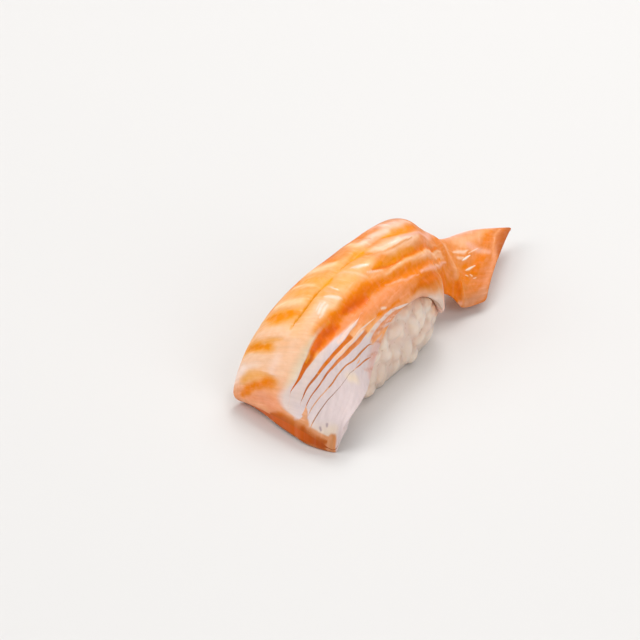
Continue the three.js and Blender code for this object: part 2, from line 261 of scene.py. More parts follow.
def stroke_share(places, edge_softness):
    """How much each place of the sheet lies under a stroke, 0 to 1, through these places:
    along and across the slice, and its half width there in mm."""
    places = np.array(places, float)
    steps = np.linspace(0, len(places) - 1, STROKE_LEGS * (len(places) - 1) + 1)
    line_along, line_across, half = (curve_through(places[:, k], steps) for k in range(3))
    line = np.stack(laid_flat(line_along, line_across), -1)
    half = np.maximum(half, STROKE_THIN)
    margin = STROKE_REACH * half.max() + STROKE_MARGIN
    near = (run[:, 0] > line[:, 0].min() - margin) & (run[:, 0] < line[:, 0].max() + margin)
    here = np.stack([loose_run[near], loose_girth[near]], -1)
    reach = np.full(here.shape[:2], np.inf)
    for start, end, half_start, half_end in zip(line[:-1], line[1:], half[:-1], half[1:]):
        way = end - start
        part = np.clip(((here - start) @ way) / (way @ way + 1e-9), 0, 1)
        gap = np.linalg.norm(here - start - part[..., None] * way, axis=-1)
        reach = np.minimum(reach, gap / (half_start + part * (half_end - half_start)))
    share = np.zeros(run.shape)
    share[near] = 1 - smooth(reach, 1 - edge_softness, 1 + edge_softness)
    return share


def fractions(hex_colour):
    """A colour written as six hex digits, as red, green and blue from 0 to 1."""
    return np.array([int(hex_colour[i:i + 2], 16) / 255 for i in (0, 2, 4)])


relief = np.zeros(run.shape)    # how far each place stands proud, in mm


def paint(layer, strokes):
    """Lays strokes over a layer of colour, and adds how far each one stands proud, in mm."""
    for colour, strength, edge_softness, proud, places in strokes:
        share = stroke_share(places, edge_softness)
        layer += (fractions(colour) - layer) * (strength * share)[..., None]
        if proud:
            np.add(relief, proud * share, out=relief)


# The colours of raw belly salmon: painted glints and sheen, pale lines, then flesh, then folds and their
# painted shade.
# The first two are highlights painted into the colour: glints and wet sheen.
PAINTED_GLINT = "fff2e8"
PAINTED_SHEEN = "fbe4d4"
PALE_PINK = "fdd6c2"
PALE_PEACH = "fdcaa4"
CREAM = "fcd0a0"
PEACH = "f7b486"
GOLD = "f9ae5c"
SALMON = "ef9358"
ROSE = "f0ac92"
AMBER = "f78e10"
ORANGE = "ee7a0a"
DEEP_ORANGE = "ea6a04"
FOLD_SHADOW = "d85c00"
FOLD_SHADE = "d06410"
BURNT_ORANGE = "dc6c04"
RUST = "b85c22"
DULL_ROSE = "d99670"

# The flesh's own colour, by cuts from foot to tail.
FLESH_ALONG = [(0.0, "f09a64"), (1.0, "f5ab7c"), (2.0, PALE_PEACH), (3.2, "fab880"), (4.6, "f7a860"),
               (6.0, "ee9450"), (8.0, "e88a4c"), (9.4, "e8863e"), (10.6, "ec9048"), (12.0, "dc7c3c")]


def blend(stops, at):
    """Colour at each place, from a list of (place, colour) with even blends between them."""
    places = [place for place, colour in stops]
    known = np.array([fractions(colour) for place, colour in stops])
    return np.stack([np.interp(at, places, known[:, k]) for k in range(3)], -1)


flesh = blend(FLESH_ALONG, along)

# Strokes over it: muscle blocks, pale in their middles and orange where two meet. A stroke has
# its colour, strength, softness of edge and how far it stands proud, in mm. Then come the places
# that it runs through: by cuts, across from the right hem, -1, to the left, 1, and half width.
# First down the left flank, from the foot to the tail.
LEFT_FLANK = [
    ("ee9c74", 0.9, 1.0, 0.10, [(0.15, 0.58, 2.2), (0.35, 0.28, 2.6), (0.6, 0.36, 2.6)]),
    ("ffe0d0", 1.0, 1.0, 0.12, [(1.3, 0.95, 2.2), (1.75, 0.78, 2.8), (2.05, 0.6, 1.8)]),
    (PALE_PEACH, 0.9, 0.9, 0.12, [(2.15, 0.8, 1.4), (2.2, 0.45, 1.7), (2.05, 0.22, 1.8)]),
    ("ffd6c0", 0.8, 1.0, 0.04, [(1.75, 0.32, 0.8), (2.0, 0.27, 1.2), (2.3, 0.25, 0.9)]),
    ("f4ac70", 0.5, 1.0, 0, [(1.5, 0.25, 0.6), (1.62, 0.31, 0.8)]),
    (GOLD, 0.9, 1.0, 0, [(1.25, 0.70, 1.2), (1.55, 0.56, 1.6), (1.6, 0.4, 1.1)]),
    (ORANGE, 0.85, 1.0, -0.25, [(0.42, 0.68, 0.7), (0.8, 0.62, 0.9), (1.08, 0.53, 0.8), (1.27, 0.42, 1.0),
                                (1.42, 0.34, 1.4)]),
    (GOLD, 0.9, 1.0, 0, [(2.5, 1.0, 2.4), (2.75, 0.80, 2.2)]),
    (AMBER, 0.5, 1.0, 0, [(2.70, 0.95, 1.2), (2.64, 0.70, 1.5)]),
    (AMBER, 1.0, 1.0, -0.15, [(2.62, 0.74, 0.7), (2.60, 0.58, 1.4), (2.57, 0.43, 1.4)]),
    (GOLD, 0.8, 0.9, -0.10, [(2.72, 0.46, 0.6), (2.84, 0.28, 0.4)]),
    (PALE_PEACH, 0.9, 0.9, 0.15, [(3.05, 0.66, 0.8), (3.08, 0.45, 1.2), (3.0, 0.22, 1.4)]),
    (GOLD, 0.8, 1.0, 0, [(3.62, 0.66, 1.2), (3.50, 0.40, 1.9), (3.6, 0.22, 1.2)]),
    (AMBER, 1.0, 1.0, -0.15, [(3.56, 0.60, 0.6), (3.50, 0.48, 1.3), (3.46, 0.34, 1.6),
                              (3.58, 0.22, 0.7)]),
    (CREAM, 0.9, 0.9, 0.15, [(3.95, 0.56, 0.8), (3.90, 0.40, 1.1), (3.9, 0.20, 0.9)]),
    (ORANGE, 0.7, 1.0, 0, [(3.8, 0.88, 1.6), (4.0, 0.68, 1.5)]),
    (GOLD, 0.9, 1.0, -0.10, [(4.25, 0.45, 1.1), (4.2, 0.22, 1.1)]),
    (CREAM, 0.8, 0.9, 0.10, [(4.45, 0.46, 0.6), (4.42, 0.2, 0.5)]),
    (GOLD, 0.9, 1.0, -0.10, [(4.75, 0.46, 1.4), (4.66, 0.2, 1.5)]),
    (AMBER, 0.6, 1.0, 0, [(4.70, 0.36, 0.6), (4.66, 0.2, 0.8)]),
    (ORANGE, 0.8, 1.0, 0, [(4.3, 0.74, 1.5), (4.72, 0.58, 1.9)]),
    (CREAM, 0.9, 1.0, 0.12, [(5.08, 0.5, 0.9), (5.05, 0.3, 1.3), (5.2, 0.16, 1.1)]),
    # This burnt orange patch is painted shade with a painted orange reflection in it.
    (BURNT_ORANGE, 1.0, 1.0, -0.12, [(5.85, 0.8, 3.0), (5.7, 0.55, 2.8), (5.55, 0.42, 1.4)]),
    (ORANGE, 0.7, 1.0, -0.10, [(5.45, 0.4, 1.2), (5.35, 0.24, 0.9)]),
    (CREAM, 0.8, 1.0, 0.10, [(5.95, 0.30, 0.8), (5.9, 0.14, 1.2)]),
    (ORANGE, 0.8, 1.0, -0.10, [(6.5, 0.62, 2.4), (6.38, 0.36, 1.6), (6.3, 0.24, 0.7)]),
    (ROSE, 0.8, 1.0, 0.08, [(6.75, 0.28, 1.2), (7.1, 0.10, 1.7), (7.6, 0.02, 1.2)]),
    (PALE_PINK, 0.8, 1.0, 0.05, [(6.8, 0.12, 0.8), (7.2, 0.04, 0.9)]),
    (DULL_ROSE, 0.8, 1.0, 0, [(7.1, 0.46, 1.4), (7.5, 0.26, 1.9), (7.9, 0.12, 1.2)]),
    (ORANGE, 0.6, 1.0, -0.10, [(7.2, 0.9, 1.5), (7.4, 0.66, 1.4)]),
    (SALMON, 0.6, 1.0, 0.10, [(8.0, 0.9, 1.2), (8.0, 0.6, 1.2)]),
    (ORANGE, 0.6, 1.0, -0.10, [(8.6, 0.85, 1.2), (8.5, 0.5, 1.0)]),
    (AMBER, 0.7, 1.0, -0.12, [(3.6, 0.98, 1.2), (3.55, 0.84, 1.0)]),
    (PALE_PEACH, 0.7, 1.0, 0.12, [(5.2, 0.96, 1.2), (5.15, 0.74, 1.2)]),
    (PALE_PEACH, 0.7, 1.0, 0.12, [(6.7, 0.96, 1.2), (6.75, 0.82, 1.0)]),
]
# Along the crest: pale flesh and painted wet glints and sheen, with thin amber furrows, on to the pinch.
CREST = [
    (PALE_PEACH, 0.9, 1.0, 0.05, [(1.9, 0.2, 1.0), (2.6, 0.12, 1.4), (3.2, 0.06, 1.6), (3.9, 0.0, 1.4)]),
    (GOLD, 0.25, 1.0, 0, [(3.0, 0.1, 1.0), (3.8, 0.07, 1.0), (4.4, 0.0, 1.0)]),
    ("fcb878", 0.9, 1.0, 0, [(4.4, -0.2, 1.4), (4.7, -0.12, 2.4), (5.1, -0.1, 2.4), (5.5, -0.2, 1.6)]),
    ("fcae60", 0.8, 0.9, 0, [(4.62, -0.08, 0.9), (4.75, -0.17, 1.2), (4.9, -0.2, 0.9)]),
    # A painted highlight on the crest: pale patches and near-white bars of painted sheen, peach lines
    # between the bars.
    (CREAM, 0.8, 0.8, 0.04, [(3.6, -0.13, 0.7), (3.95, -0.16, 0.8), (4.15, -0.18, 0.6)]),
    (PALE_PEACH, 0.8, 0.9, 0.04, [(3.5, -0.02, 0.6), (3.75, -0.06, 1.3), (3.95, -0.08, 1.0)]),
    (PAINTED_SHEEN, 0.8, 0.7, 0.05, [(3.52, -0.08, 0.15), (3.7, -0.1, 0.35), (3.9, -0.115, 0.15)]),
    (PAINTED_SHEEN, 0.9, 0.7, 0.05, [(3.58, -0.035, 0.15), (3.76, -0.05, 0.35), (3.92, -0.065, 0.2)]),
    (PAINTED_SHEEN, 0.7, 0.7, 0.05, [(3.66, 0.005, 0.1), (3.8, -0.01, 0.25), (3.9, -0.02, 0.1)]),
    (PAINTED_SHEEN, 0.8, 0.8, 0.05, [(4.1, -0.02, 0.3), (4.11, -0.08, 0.55), (4.14, -0.15, 0.5),
                                 (4.2, -0.21, 0.3)]),
    (PAINTED_SHEEN, 0.8, 0.6, 0.05, [(4.43, 0.02, 0.12), (4.44, -0.05, 0.22), (4.43, -0.12, 0.12)]),
    (PEACH, 0.7, 0.8, -0.05, [(3.44, 0.0, 0.15), (3.38, -0.07, 0.25), (3.34, -0.12, 0.2)]),
    (PEACH, 0.7, 0.8, -0.05, [(3.97, 0.02, 0.15), (3.97, -0.1, 0.2), (4.0, -0.2, 0.25)]),
    (PEACH, 0.6, 0.8, -0.05, [(4.3, 0.03, 0.2), (4.3, -0.1, 0.3), (4.33, -0.22, 0.3)]),
    (PALE_PEACH, 0.7, 0.9, 0.05, [(4.95, 0.0, 0.5), (5.02, -0.12, 0.4), (5.15, -0.3, 0.4)]),
    # Pale pink ripples of painted wet highlight, on the crest and along the furrow's edge.
    (PALE_PINK, 0.9, 0.8, 0.08, [(5.18, -0.06, 0.25), (5.32, -0.13, 0.5), (5.46, -0.21, 0.25)]),
    (PALE_PINK, 0.7, 0.8, 0.05, [(5.3, -0.27, 0.15), (5.45, -0.33, 0.3), (5.62, -0.38, 0.15)]),
    ("fbceac", 0.9, 1.0, 0.05, [(5.9, -0.08, 1.1), (6.2, -0.2, 1.9), (6.8, -0.26, 1.6),
                                (7.3, -0.3, 0.9)]),
    # A painted lilac-white sheen on the pale band.
    (PALE_PINK, 0.7, 0.9, 0.05, [(6.35, -0.2, 0.5), (6.7, -0.24, 0.7), (7.0, -0.29, 0.5)]),
    (GOLD, 0.8, 1.0, -0.05, [(3.4, 0.16, 0.8), (4.5, 0.09, 1.2), (5.7, 0.05, 1.2), (5.9, -0.02, 0.7)]),
    (AMBER, 0.8, 0.9, 0, [(3.57, 0.3, 0.7), (3.56, 0.17, 0.5)]),
    (GOLD, 0.9, 0.9, 0, [(4.62, 0.3, 1.1), (4.62, 0.12, 1.2)]),
    ("e08c14", 1.0, 0.7, -0.20, [(3.1, 0.2, 0.12), (3.6, 0.157, 0.25), (4.1, 0.115, 0.3),
                                 (4.45, 0.092, 0.2)]),
    ("f0a010", 1.0, 0.9, -0.10, [(4.4, 0.095, 0.3), (4.58, 0.08, 0.8), (4.75, 0.075, 0.4)]),
    ("e89020", 1.0, 0.7, -0.15, [(5.05, 0.07, 0.1), (5.35, 0.05, 0.25), (5.6, 0.035, 0.3)]),
    ("f49c18", 1.0, 0.9, -0.10, [(5.5, 0.04, 0.5), (5.68, 0.035, 0.9), (5.8, 0.01, 0.3)]),
    (AMBER, 0.7, 0.8, -0.08, [(5.66, 0.0, 0.3), (5.7, -0.07, 0.25), (5.78, -0.13, 0.2)]),
    (AMBER, 1.0, 0.9, -0.10, [(6.5, -0.03, 0.5), (6.85, -0.10, 1.1), (7.4, -0.15, 1.3),
                              (8.0, -0.165, 1.0)]),
    (PALE_PINK, 0.8, 1.0, 0.04, [(6.0, 0.12, 1.0), (6.4, 0.1, 1.2), (6.7, 0.02, 1.0)]),
    (DULL_ROSE, 0.6, 0.8, -0.05, [(6.15, 0.26, 0.3), (6.3, 0.1, 0.25)]),
    (DULL_ROSE, 0.6, 0.8, -0.05, [(6.7, 0.2, 0.3), (6.78, 0.05, 0.25)]),
    # A small painted wet highlight on the crest.
    (PAINTED_SHEEN, 0.6, 0.8, 0.05, [(6.88, 0.22, 0.3), (6.92, 0.06, 0.35)]),
    ("e08a44", 0.8, 0.9, 0, [(5.75, -0.17, 0.12), (6.1, -0.225, 0.2), (6.5, -0.27, 0.2),
                             (7.0, -0.3, 0.15)]),
    # A rose band of painted highlight, sweeping over the crest into the pinch.
    (ROSE, 0.9, 0.9, 0.03, [(6.7, -0.21, 0.4), (7.4, -0.27, 0.6), (8.2, -0.29, 1.0), (8.85, -0.2, 1.1),
                            (9.2, 0.0, 1.2), (9.4, 0.3, 1.2), (9.6, 0.7, 1.2)]),
    ("f9c6aa", 0.8, 1.0, 0.03, [(6.4, 0.14, 0.6), (6.9, 0.02, 0.9), (7.4, -0.01, 1.0),
                                (7.9, -0.03, 0.5)]),
    ("e88430", 0.7, 1.0, 0, [(5.9, 0.44, 0.6), (6.2, 0.33, 0.7), (6.5, 0.3, 0.5), (6.7, 0.3, 0.3)]),
    ("ea8430", 0.7, 1.0, 0, [(7.2, -0.18, 0.3), (7.7, -0.19, 0.6), (8.2, -0.14, 0.6),
                             (8.45, -0.08, 0.4)]),
    # Painted shade in the shadowed notch of the pinch.
    ("dc8648", 0.75, 1.0, 0, [(8.1, 0.03, 0.6), (8.4, 0.04, 1.0), (9.0, 0.04, 0.8)]),
]
# Down the right flank: the flesh below the great fold, the fold itself in three hollows, a
# second furrow above it, and the orange flesh that runs on to the hem behind the fat.
RIGHT_FLANK = [
    (PEACH, 0.8, 0.9, 0.05, [(4.9, -0.42, 0.9), (6.0, -0.51, 1.1), (7.2, -0.55, 1.2), (8.2, -0.57, 1.2),
                             (9.0, -0.52, 1.0), (9.6, -0.38, 0.8)]),
    (SALMON, 1.0, 0.8, 0.05, [(2.7, -0.2, 0.5), (3.3, -0.31, 1.1), (3.9, -0.42, 2.0), (4.5, -0.53, 2.8),
                              (5.3, -0.68, 3.0), (6.0, -0.72, 2.4)]),
    (BURNT_ORANGE, 1.0, 0.9, 0, [(6.0, -0.86, 1.0), (6.7, -0.84, 2.2), (7.6, -0.85, 2.6),
                                 (8.6, -0.86, 2.6), (9.5, -0.82, 2.2)]),
    (SALMON, 0.7, 0.9, 0, [(5.2, -0.82, 0.8), (6.2, -0.79, 0.9)]),
    (ORANGE, 1.0, 0.8, 0, [(1.36, 0.075, 0.5), (1.7, 0.04, 0.6), (2.1, -0.02, 0.6), (2.6, -0.08, 0.9),
                           (3.2, -0.17, 1.4), (3.6, -0.23, 1.5), (3.9, -0.28, 1.0), (4.3, -0.33, 1.5),
                           (4.8, -0.39, 1.5), (5.3, -0.47, 1.0)]),
    # Painted shade, brown orange, along the fold where it starts.
    (FOLD_SHADE, 1.0, 0.8, 0, [(1.36, 0.072, 0.3), (1.8, 0.02, 0.5), (2.2, -0.035, 0.6),
                               (2.6, -0.1, 0.4)]),
    ("e8a040", 0.8, 0.8, 0, [(2.3, -0.03, 0.12), (2.7, -0.08, 0.22), (3.1, -0.12, 0.3),
                             (3.6, -0.2, 0.2)]),
    # The fold's hollows in deep orange: the flesh's own deeper orange, partly painted shade.
    (DEEP_ORANGE, 1.0, 0.8, -0.05, [(2.7, -0.10, 0.5), (3.0, -0.155, 1.1), (3.35, -0.235, 1.3),
                                    (3.6, -0.31, 0.6)]),
    (SALMON, 0.8, 0.9, 0, [(3.2, -0.31, 0.3), (3.7, -0.37, 0.6), (4.1, -0.45, 0.6)]),
    (DEEP_ORANGE, 1.0, 0.8, -0.05, [(3.95, -0.30, 0.4), (4.2, -0.36, 1.0), (4.5, -0.42, 1.2),
                                    (4.75, -0.47, 0.7)]),
    ("f4800c", 0.9, 0.9, -0.05, [(5.2, -0.48, 0.6), (5.6, -0.54, 1.2), (6.0, -0.59, 1.5),
                                 (6.5, -0.62, 1.3), (7.0, -0.645, 1.0), (7.6, -0.66, 0.7),
                                 (8.3, -0.665, 0.5), (8.9, -0.62, 0.45), (9.5, -0.48, 0.3)]),
    # Painted shadow lines in the fold's three hollows.
    (FOLD_SHADOW, 0.6, 1.0, 0, [(2.6, -0.11, 0.15), (2.85, -0.14, 0.4), (3.05, -0.18, 0.3)]),
    (FOLD_SHADOW, 0.7, 1.0, 0, [(3.15, -0.19, 0.3), (3.35, -0.235, 0.6), (3.55, -0.29, 0.3)]),
    (FOLD_SHADOW, 0.4, 1.0, 0, [(4.1, -0.33, 0.3), (4.35, -0.385, 0.6), (4.6, -0.44, 0.3)]),
    (AMBER, 0.8, 0.9, -0.05, [(5.5, -0.3, 0.3), (5.8, -0.34, 0.9), (6.3, -0.4, 1.1), (6.8, -0.43, 0.7)]),
    (ORANGE, 1.0, 0.8, -0.08, [(5.45, -0.30, 0.15), (5.7, -0.37, 0.3), (6.1, -0.43, 0.4),
                               (6.6, -0.46, 0.5), (7.1, -0.46, 0.7), (7.7, -0.47, 0.5),
                               (8.3, -0.475, 0.4), (8.9, -0.42, 0.35), (9.4, -0.28, 0.25)]),
    (PALE_PEACH, 0.6, 0.9, 0.03, [(5.6, -0.44, 0.2), (6.2, -0.48, 0.4), (7.2, -0.51, 0.4),
                                  (8.2, -0.525, 0.35), (9.0, -0.46, 0.3), (9.6, -0.28, 0.2)]),
    # A pale rose line of painted highlight along the ridge beside the great fold.
    (ROSE, 0.9, 0.9, 0.12, [(6.6, -0.70, 0.25), (7.3, -0.725, 0.6), (8.2, -0.74, 0.65), (8.8, -0.70, 0.5),
                            (9.3, -0.61, 0.35), (9.8, -0.45, 0.2)]),
    ("ee9048", 0.7, 1.0, 0, [(8.0, -0.6, 0.3), (8.6, -0.6, 0.6), (9.2, -0.57, 0.5)]),
    ("e8b49c", 0.8, 1.0, 0, [(5.7, -1.0, 0.9), (6.4, -0.97, 1.2), (7.2, -0.96, 1.6), (8.0, -0.95, 1.8)]),
    ("e2ccbe", 0.9, 0.8, 0, [(6.5, -1.0, 0.7), (7.0, -0.98, 1.1), (7.3, -0.97, 1.1)]),
    ("efbcaa", 1.0, 0.5, 0, [(7.45, -0.98, 1.0), (7.9, -0.95, 1.5), (8.3, -0.95, 1.6),
                             (8.9, -0.96, 1.5)]),
    ("f6dcd0", 0.7, 0.8, 0, [(7.4, -1.0, 0.3), (8.4, -1.0, 0.35), (8.62, -0.98, 0.3),
                             (8.64, -0.85, 0.3)]),
    (ORANGE, 0.8, 0.9, -0.05, [(4.55, -0.70, 0.3), (4.75, -0.75, 0.4), (5.0, -0.80, 0.3),
                               (5.4, -0.86, 0.3)]),
    # A small painted glint on the fat near the hem.
    (PAINTED_SHEEN, 0.9, 0.7, 0.05, [(4.78, -0.71, 0.12), (4.87, -0.735, 0.28), (4.98, -0.765, 0.12)]),
    (ROSE, 0.7, 0.8, 0.03, [(5.4, -0.55, 0.1), (5.9, -0.66, 0.3), (6.5, -0.72, 0.1)]),
]
# The twisted tail, with a thick front edge, a pale rim and a dark tip, and painted wet sheen and glints.
TAIL = [
    (ORANGE, 0.9, 0.9, 0, [(9.0, -0.86, 1.6), (9.6, -0.78, 1.4)]),
    (ORANGE, 1.0, 0.9, -0.10, [(9.85, -0.97, 1.2), (10.1, -0.86, 1.3), (10.45, -0.72, 1.3)]),
    (ORANGE, 1.0, 0.9, 0, [(10.45, -0.95, 1.6), (10.6, -0.7, 1.4), (10.65, -0.5, 0.9)]),
    (PEACH, 0.5, 1.0, 0.03, [(9.75, 0.4, 0.6), (9.95, 0.05, 1.1), (10.15, -0.35, 1.1),
                             (10.3, -0.6, 0.7)]),
    (PEACH, 0.8, 1.0, 0, [(10.5, 0.66, 1.6), (10.8, 0.36, 1.8)]),
    (ROSE, 1.0, 0.9, 0.05, [(9.7, 0.85, 1.2), (10.3, 0.88, 1.9), (11.0, 0.92, 1.7), (11.5, 0.97, 1.0)]),
    (PALE_PINK, 0.8, 0.9, 0, [(10.6, 0.97, 0.9), (11.2, 0.98, 0.8)]),
    (ORANGE, 0.7, 1.0, 0, [(11.4, 0.78, 1.0), (11.45, 0.4, 1.2)]),
    (ORANGE, 0.6, 1.0, 0, [(10.95, -0.25, 1.0), (11.0, -0.45, 1.4)]),
    (ORANGE, 0.8, 1.0, 0, [(11.45, 0.05, 1.2), (11.3, -0.3, 1.2)]),
    (PEACH, 0.7, 1.0, 0, [(10.5, 0.4, 1.4), (11.0, 0.5, 1.8), (11.4, 0.85, 1.0)]),
    (ROSE, 0.8, 0.9, 0.05, [(10.95, 0.3, 0.8), (11.25, 0.15, 0.9), (11.6, 0.1, 0.8)]),
    # Pale pink patches of painted wet sheen on the tail.
    (PALE_PINK, 0.8, 1.0, 0.03, [(10.35, -0.02, 0.35), (10.5, 0.02, 0.5), (10.8, 0.08, 0.45),
                                 (10.95, 0.14, 0.2)]),
    (PALE_PINK, 0.7, 1.0, 0.03, [(10.52, -0.13, 0.3), (10.68, -0.1, 0.35), (10.8, -0.06, 0.2)]),
    # Painted glints: small white highlights on the wet tail.
    (PAINTED_GLINT, 1.0, 0.7, 0.08, [(10.76, -0.13, 0.16), (10.9, -0.07, 0.34), (11.06, 0.01, 0.16)]),
    (PAINTED_GLINT, 0.6, 0.8, 0.05, [(11.0, 0.06, 0.1), (11.14, 0.14, 0.16), (11.24, 0.2, 0.08)]),
    (PAINTED_GLINT, 0.9, 0.7, 0.08, [(11.0, -0.31, 0.16), (11.12, -0.27, 0.34), (11.28, -0.2, 0.12)]),
    (PAINTED_GLINT, 0.8, 0.8, 0.06, [(11.04, -0.4, 0.12), (11.12, -0.42, 0.14)]),
    (PAINTED_GLINT, 0.8, 0.8, 0.06, [(11.2, -0.38, 0.12), (11.27, -0.41, 0.14)]),
    (PAINTED_GLINT, 0.7, 0.8, 0.06, [(11.35, -0.44, 0.1), (11.42, -0.42, 0.12)]),
    (PEACH, 0.45, 0.9, 0.05, [(11.66, 0.85, 0.35), (11.70, 0.35, 0.4), (11.8, 0.0, 0.3)]),
    ("f0a680", 0.6, 1.0, 0, [(11.85, 0.3, 0.6), (11.85, 0.0, 0.8), (11.85, -0.4, 0.9),
                             (11.8, -0.8, 0.9)]),
    (RUST, 0.9, 0.9, 0, [(11.97, 0.95, 0.8), (11.93, 0.5, 1.5), (12.0, 0.1, 0.9)]),
    (DULL_ROSE, 0.8, 1.0, 0, [(11.1, -0.94, 1.6), (11.8, -0.75, 1.6)]),
    (ROSE, 0.8, 0.9, 0, [(10.6, -1.0, 0.8), (10.8, -0.94, 0.6)]),
]
# Small wrinkles gather into the pinch, all by the same route.
WRINKLES_ACROSS = np.linspace(-0.82, -0.40, 5)
WRINKLE = [(7.7, 0.0, 0.1), (8.3, 0.0, 0.22), (8.9, 0.05, 0.22), (9.4, 0.18, 0.18), (9.8, 0.4, 0.1)]
for start_across in WRINKLES_ACROSS:
    places = [(place, start_across + rise, half) for place, rise, half in WRINKLE]
    TAIL.append((PEACH, 0.3, 1.0, 0, places))
for strokes in (LEFT_FLANK, CREST, RIGHT_FLANK, TAIL):
    paint(flesh, strokes)

# Flesh that shows as thin lines between the fat, duller the nearer the hem, and at the foot.
FLESH_IN_FAT = [
    ("e4a67c", 1.0, 0.9, 0, [(0.0, -0.1, 3.2), (0.35, -0.16, 2.0), (0.7, -0.15, 0.9)]),
    ("d98a4c", 0.8, 1.0, 0, [(0.0, -0.2, 1.6), (0.3, -0.2, 1.2), (0.55, -0.18, 0.6)]),
    (RUST, 0.9, 0.8, 0, [(1.1, -0.145, 0.2), (1.3, -0.16, 0.4), (1.6, -0.21, 0.5), (2.15, -0.3, 0.5),
                         (2.45, -0.365, 0.5)]),
    (RUST, 0.9, 0.8, 0, [(1.1, -0.05, 0.5), (1.7, -0.12, 0.6), (2.1, -0.2, 0.6)]),
    ("d87020", 1.0, 0.8, 0, [(2.2, -0.23, 0.6), (2.7, -0.34, 0.7), (3.0, -0.4, 0.8), (3.5, -0.49, 0.8)]),
    ("d8783c", 0.9, 0.8, 0, [(2.3, -0.33, 0.4), (2.7, -0.42, 0.6), (3.2, -0.53, 0.7), (3.9, -0.65, 0.8)]),
    ("dca078", 0.9, 0.8, 0, [(0.6, -0.19, 0.6), (1.2, -0.24, 0.5), (1.8, -0.35, 0.4)]),
    ("c47438", 0.9, 0.8, 0, [(1.9, -0.38, 0.4), (2.8, -0.55, 0.6), (3.8, -0.77, 0.7)]),
    ("9c7058", 0.9, 0.8, 0, [(0.5, -0.31, 0.25), (0.8, -0.33, 0.4), (1.2, -0.36, 0.5), (2.0, -0.51, 0.5),
                             (2.8, -0.66, 0.5)]),
    ("c06c38", 0.9, 0.8, 0, [(3.0, -0.70, 0.5), (3.6, -0.86, 0.6)]),
    ("e4966c", 0.9, 0.9, 0, [(4.0, -0.79, 0.6), (4.4, -0.84, 1.0), (4.9, -0.9, 1.2), (5.3, -0.97, 0.8)]),
    ("eeb8a0", 0.8, 0.8, 0, [(4.3, -0.86, 0.15), (4.7, -0.9, 0.3), (5.1, -0.96, 0.3)]),
    ("c88858", 0.9, 0.9, 0, [(0.0, -0.8, 1.6), (0.3, -0.78, 1.2)]),
    ("dc9a70", 0.9, 0.9, 0, [(0.0, -0.2, 1.6), (0.0, -0.45, 1.4), (0.0, -0.7, 1.1)]),
    # At the foot's edge: the lighter stroke on the left half is painted light, the darker two towards the
    # right hem partly painted shade.
    ("f8ac7c", 0.9, 1.0, 0, [(0.0, 0.7, 0.8), (0.0, 0.5, 1.1), (0.0, 0.32, 0.9)]),
    ("c8621a", 1.0, 0.9, 0, [(0.0, 0.26, 0.1), (0.0, 0.1, 0.7), (0.0, -0.2, 0.6)]),
    ("b45214", 0.9, 0.9, 0, [(0.0, -0.2, 0.6), (0.0, -0.5, 0.35), (0.0, -0.7, 0.15)]),
]
# Short threads, pale and dark by turns, run down to the hem behind the fat.
THREADS_ALONG = np.arange(4.15, 5.3, 0.15)
THREADS_ACROSS = -0.80
THREADS_FALL = 0.15             # how much nearer the hem each starts, for a cut further on
THREAD = [(0.0, 0.0, 0.05), (0.14, -0.05, 0.15), (0.34, -0.07, 0.05)]
for k, start_along in enumerate(THREADS_ALONG):
    start_across = THREADS_ACROSS - THREADS_FALL * (start_along - THREADS_ALONG[0])
    places = [(start_along + on, start_across + rise, half) for on, rise, half in THREAD]
    FLESH_IN_FAT.append(("c8683a" if k % 2 else "f6d4c6", 0.6, 0.8, 0, places))
paint(flesh, FLESH_IN_FAT)
# The colour of the cut face at the foot, from the right hem towards the left: the flesh's own orange,
# darker towards the right hem, partly as painted shade.
CUT_FACE_AND_SHADE = [(-1.0, "a44812"), (-0.5, "b85216"), (0.0, "d96414"), (0.6, "e2660a")]

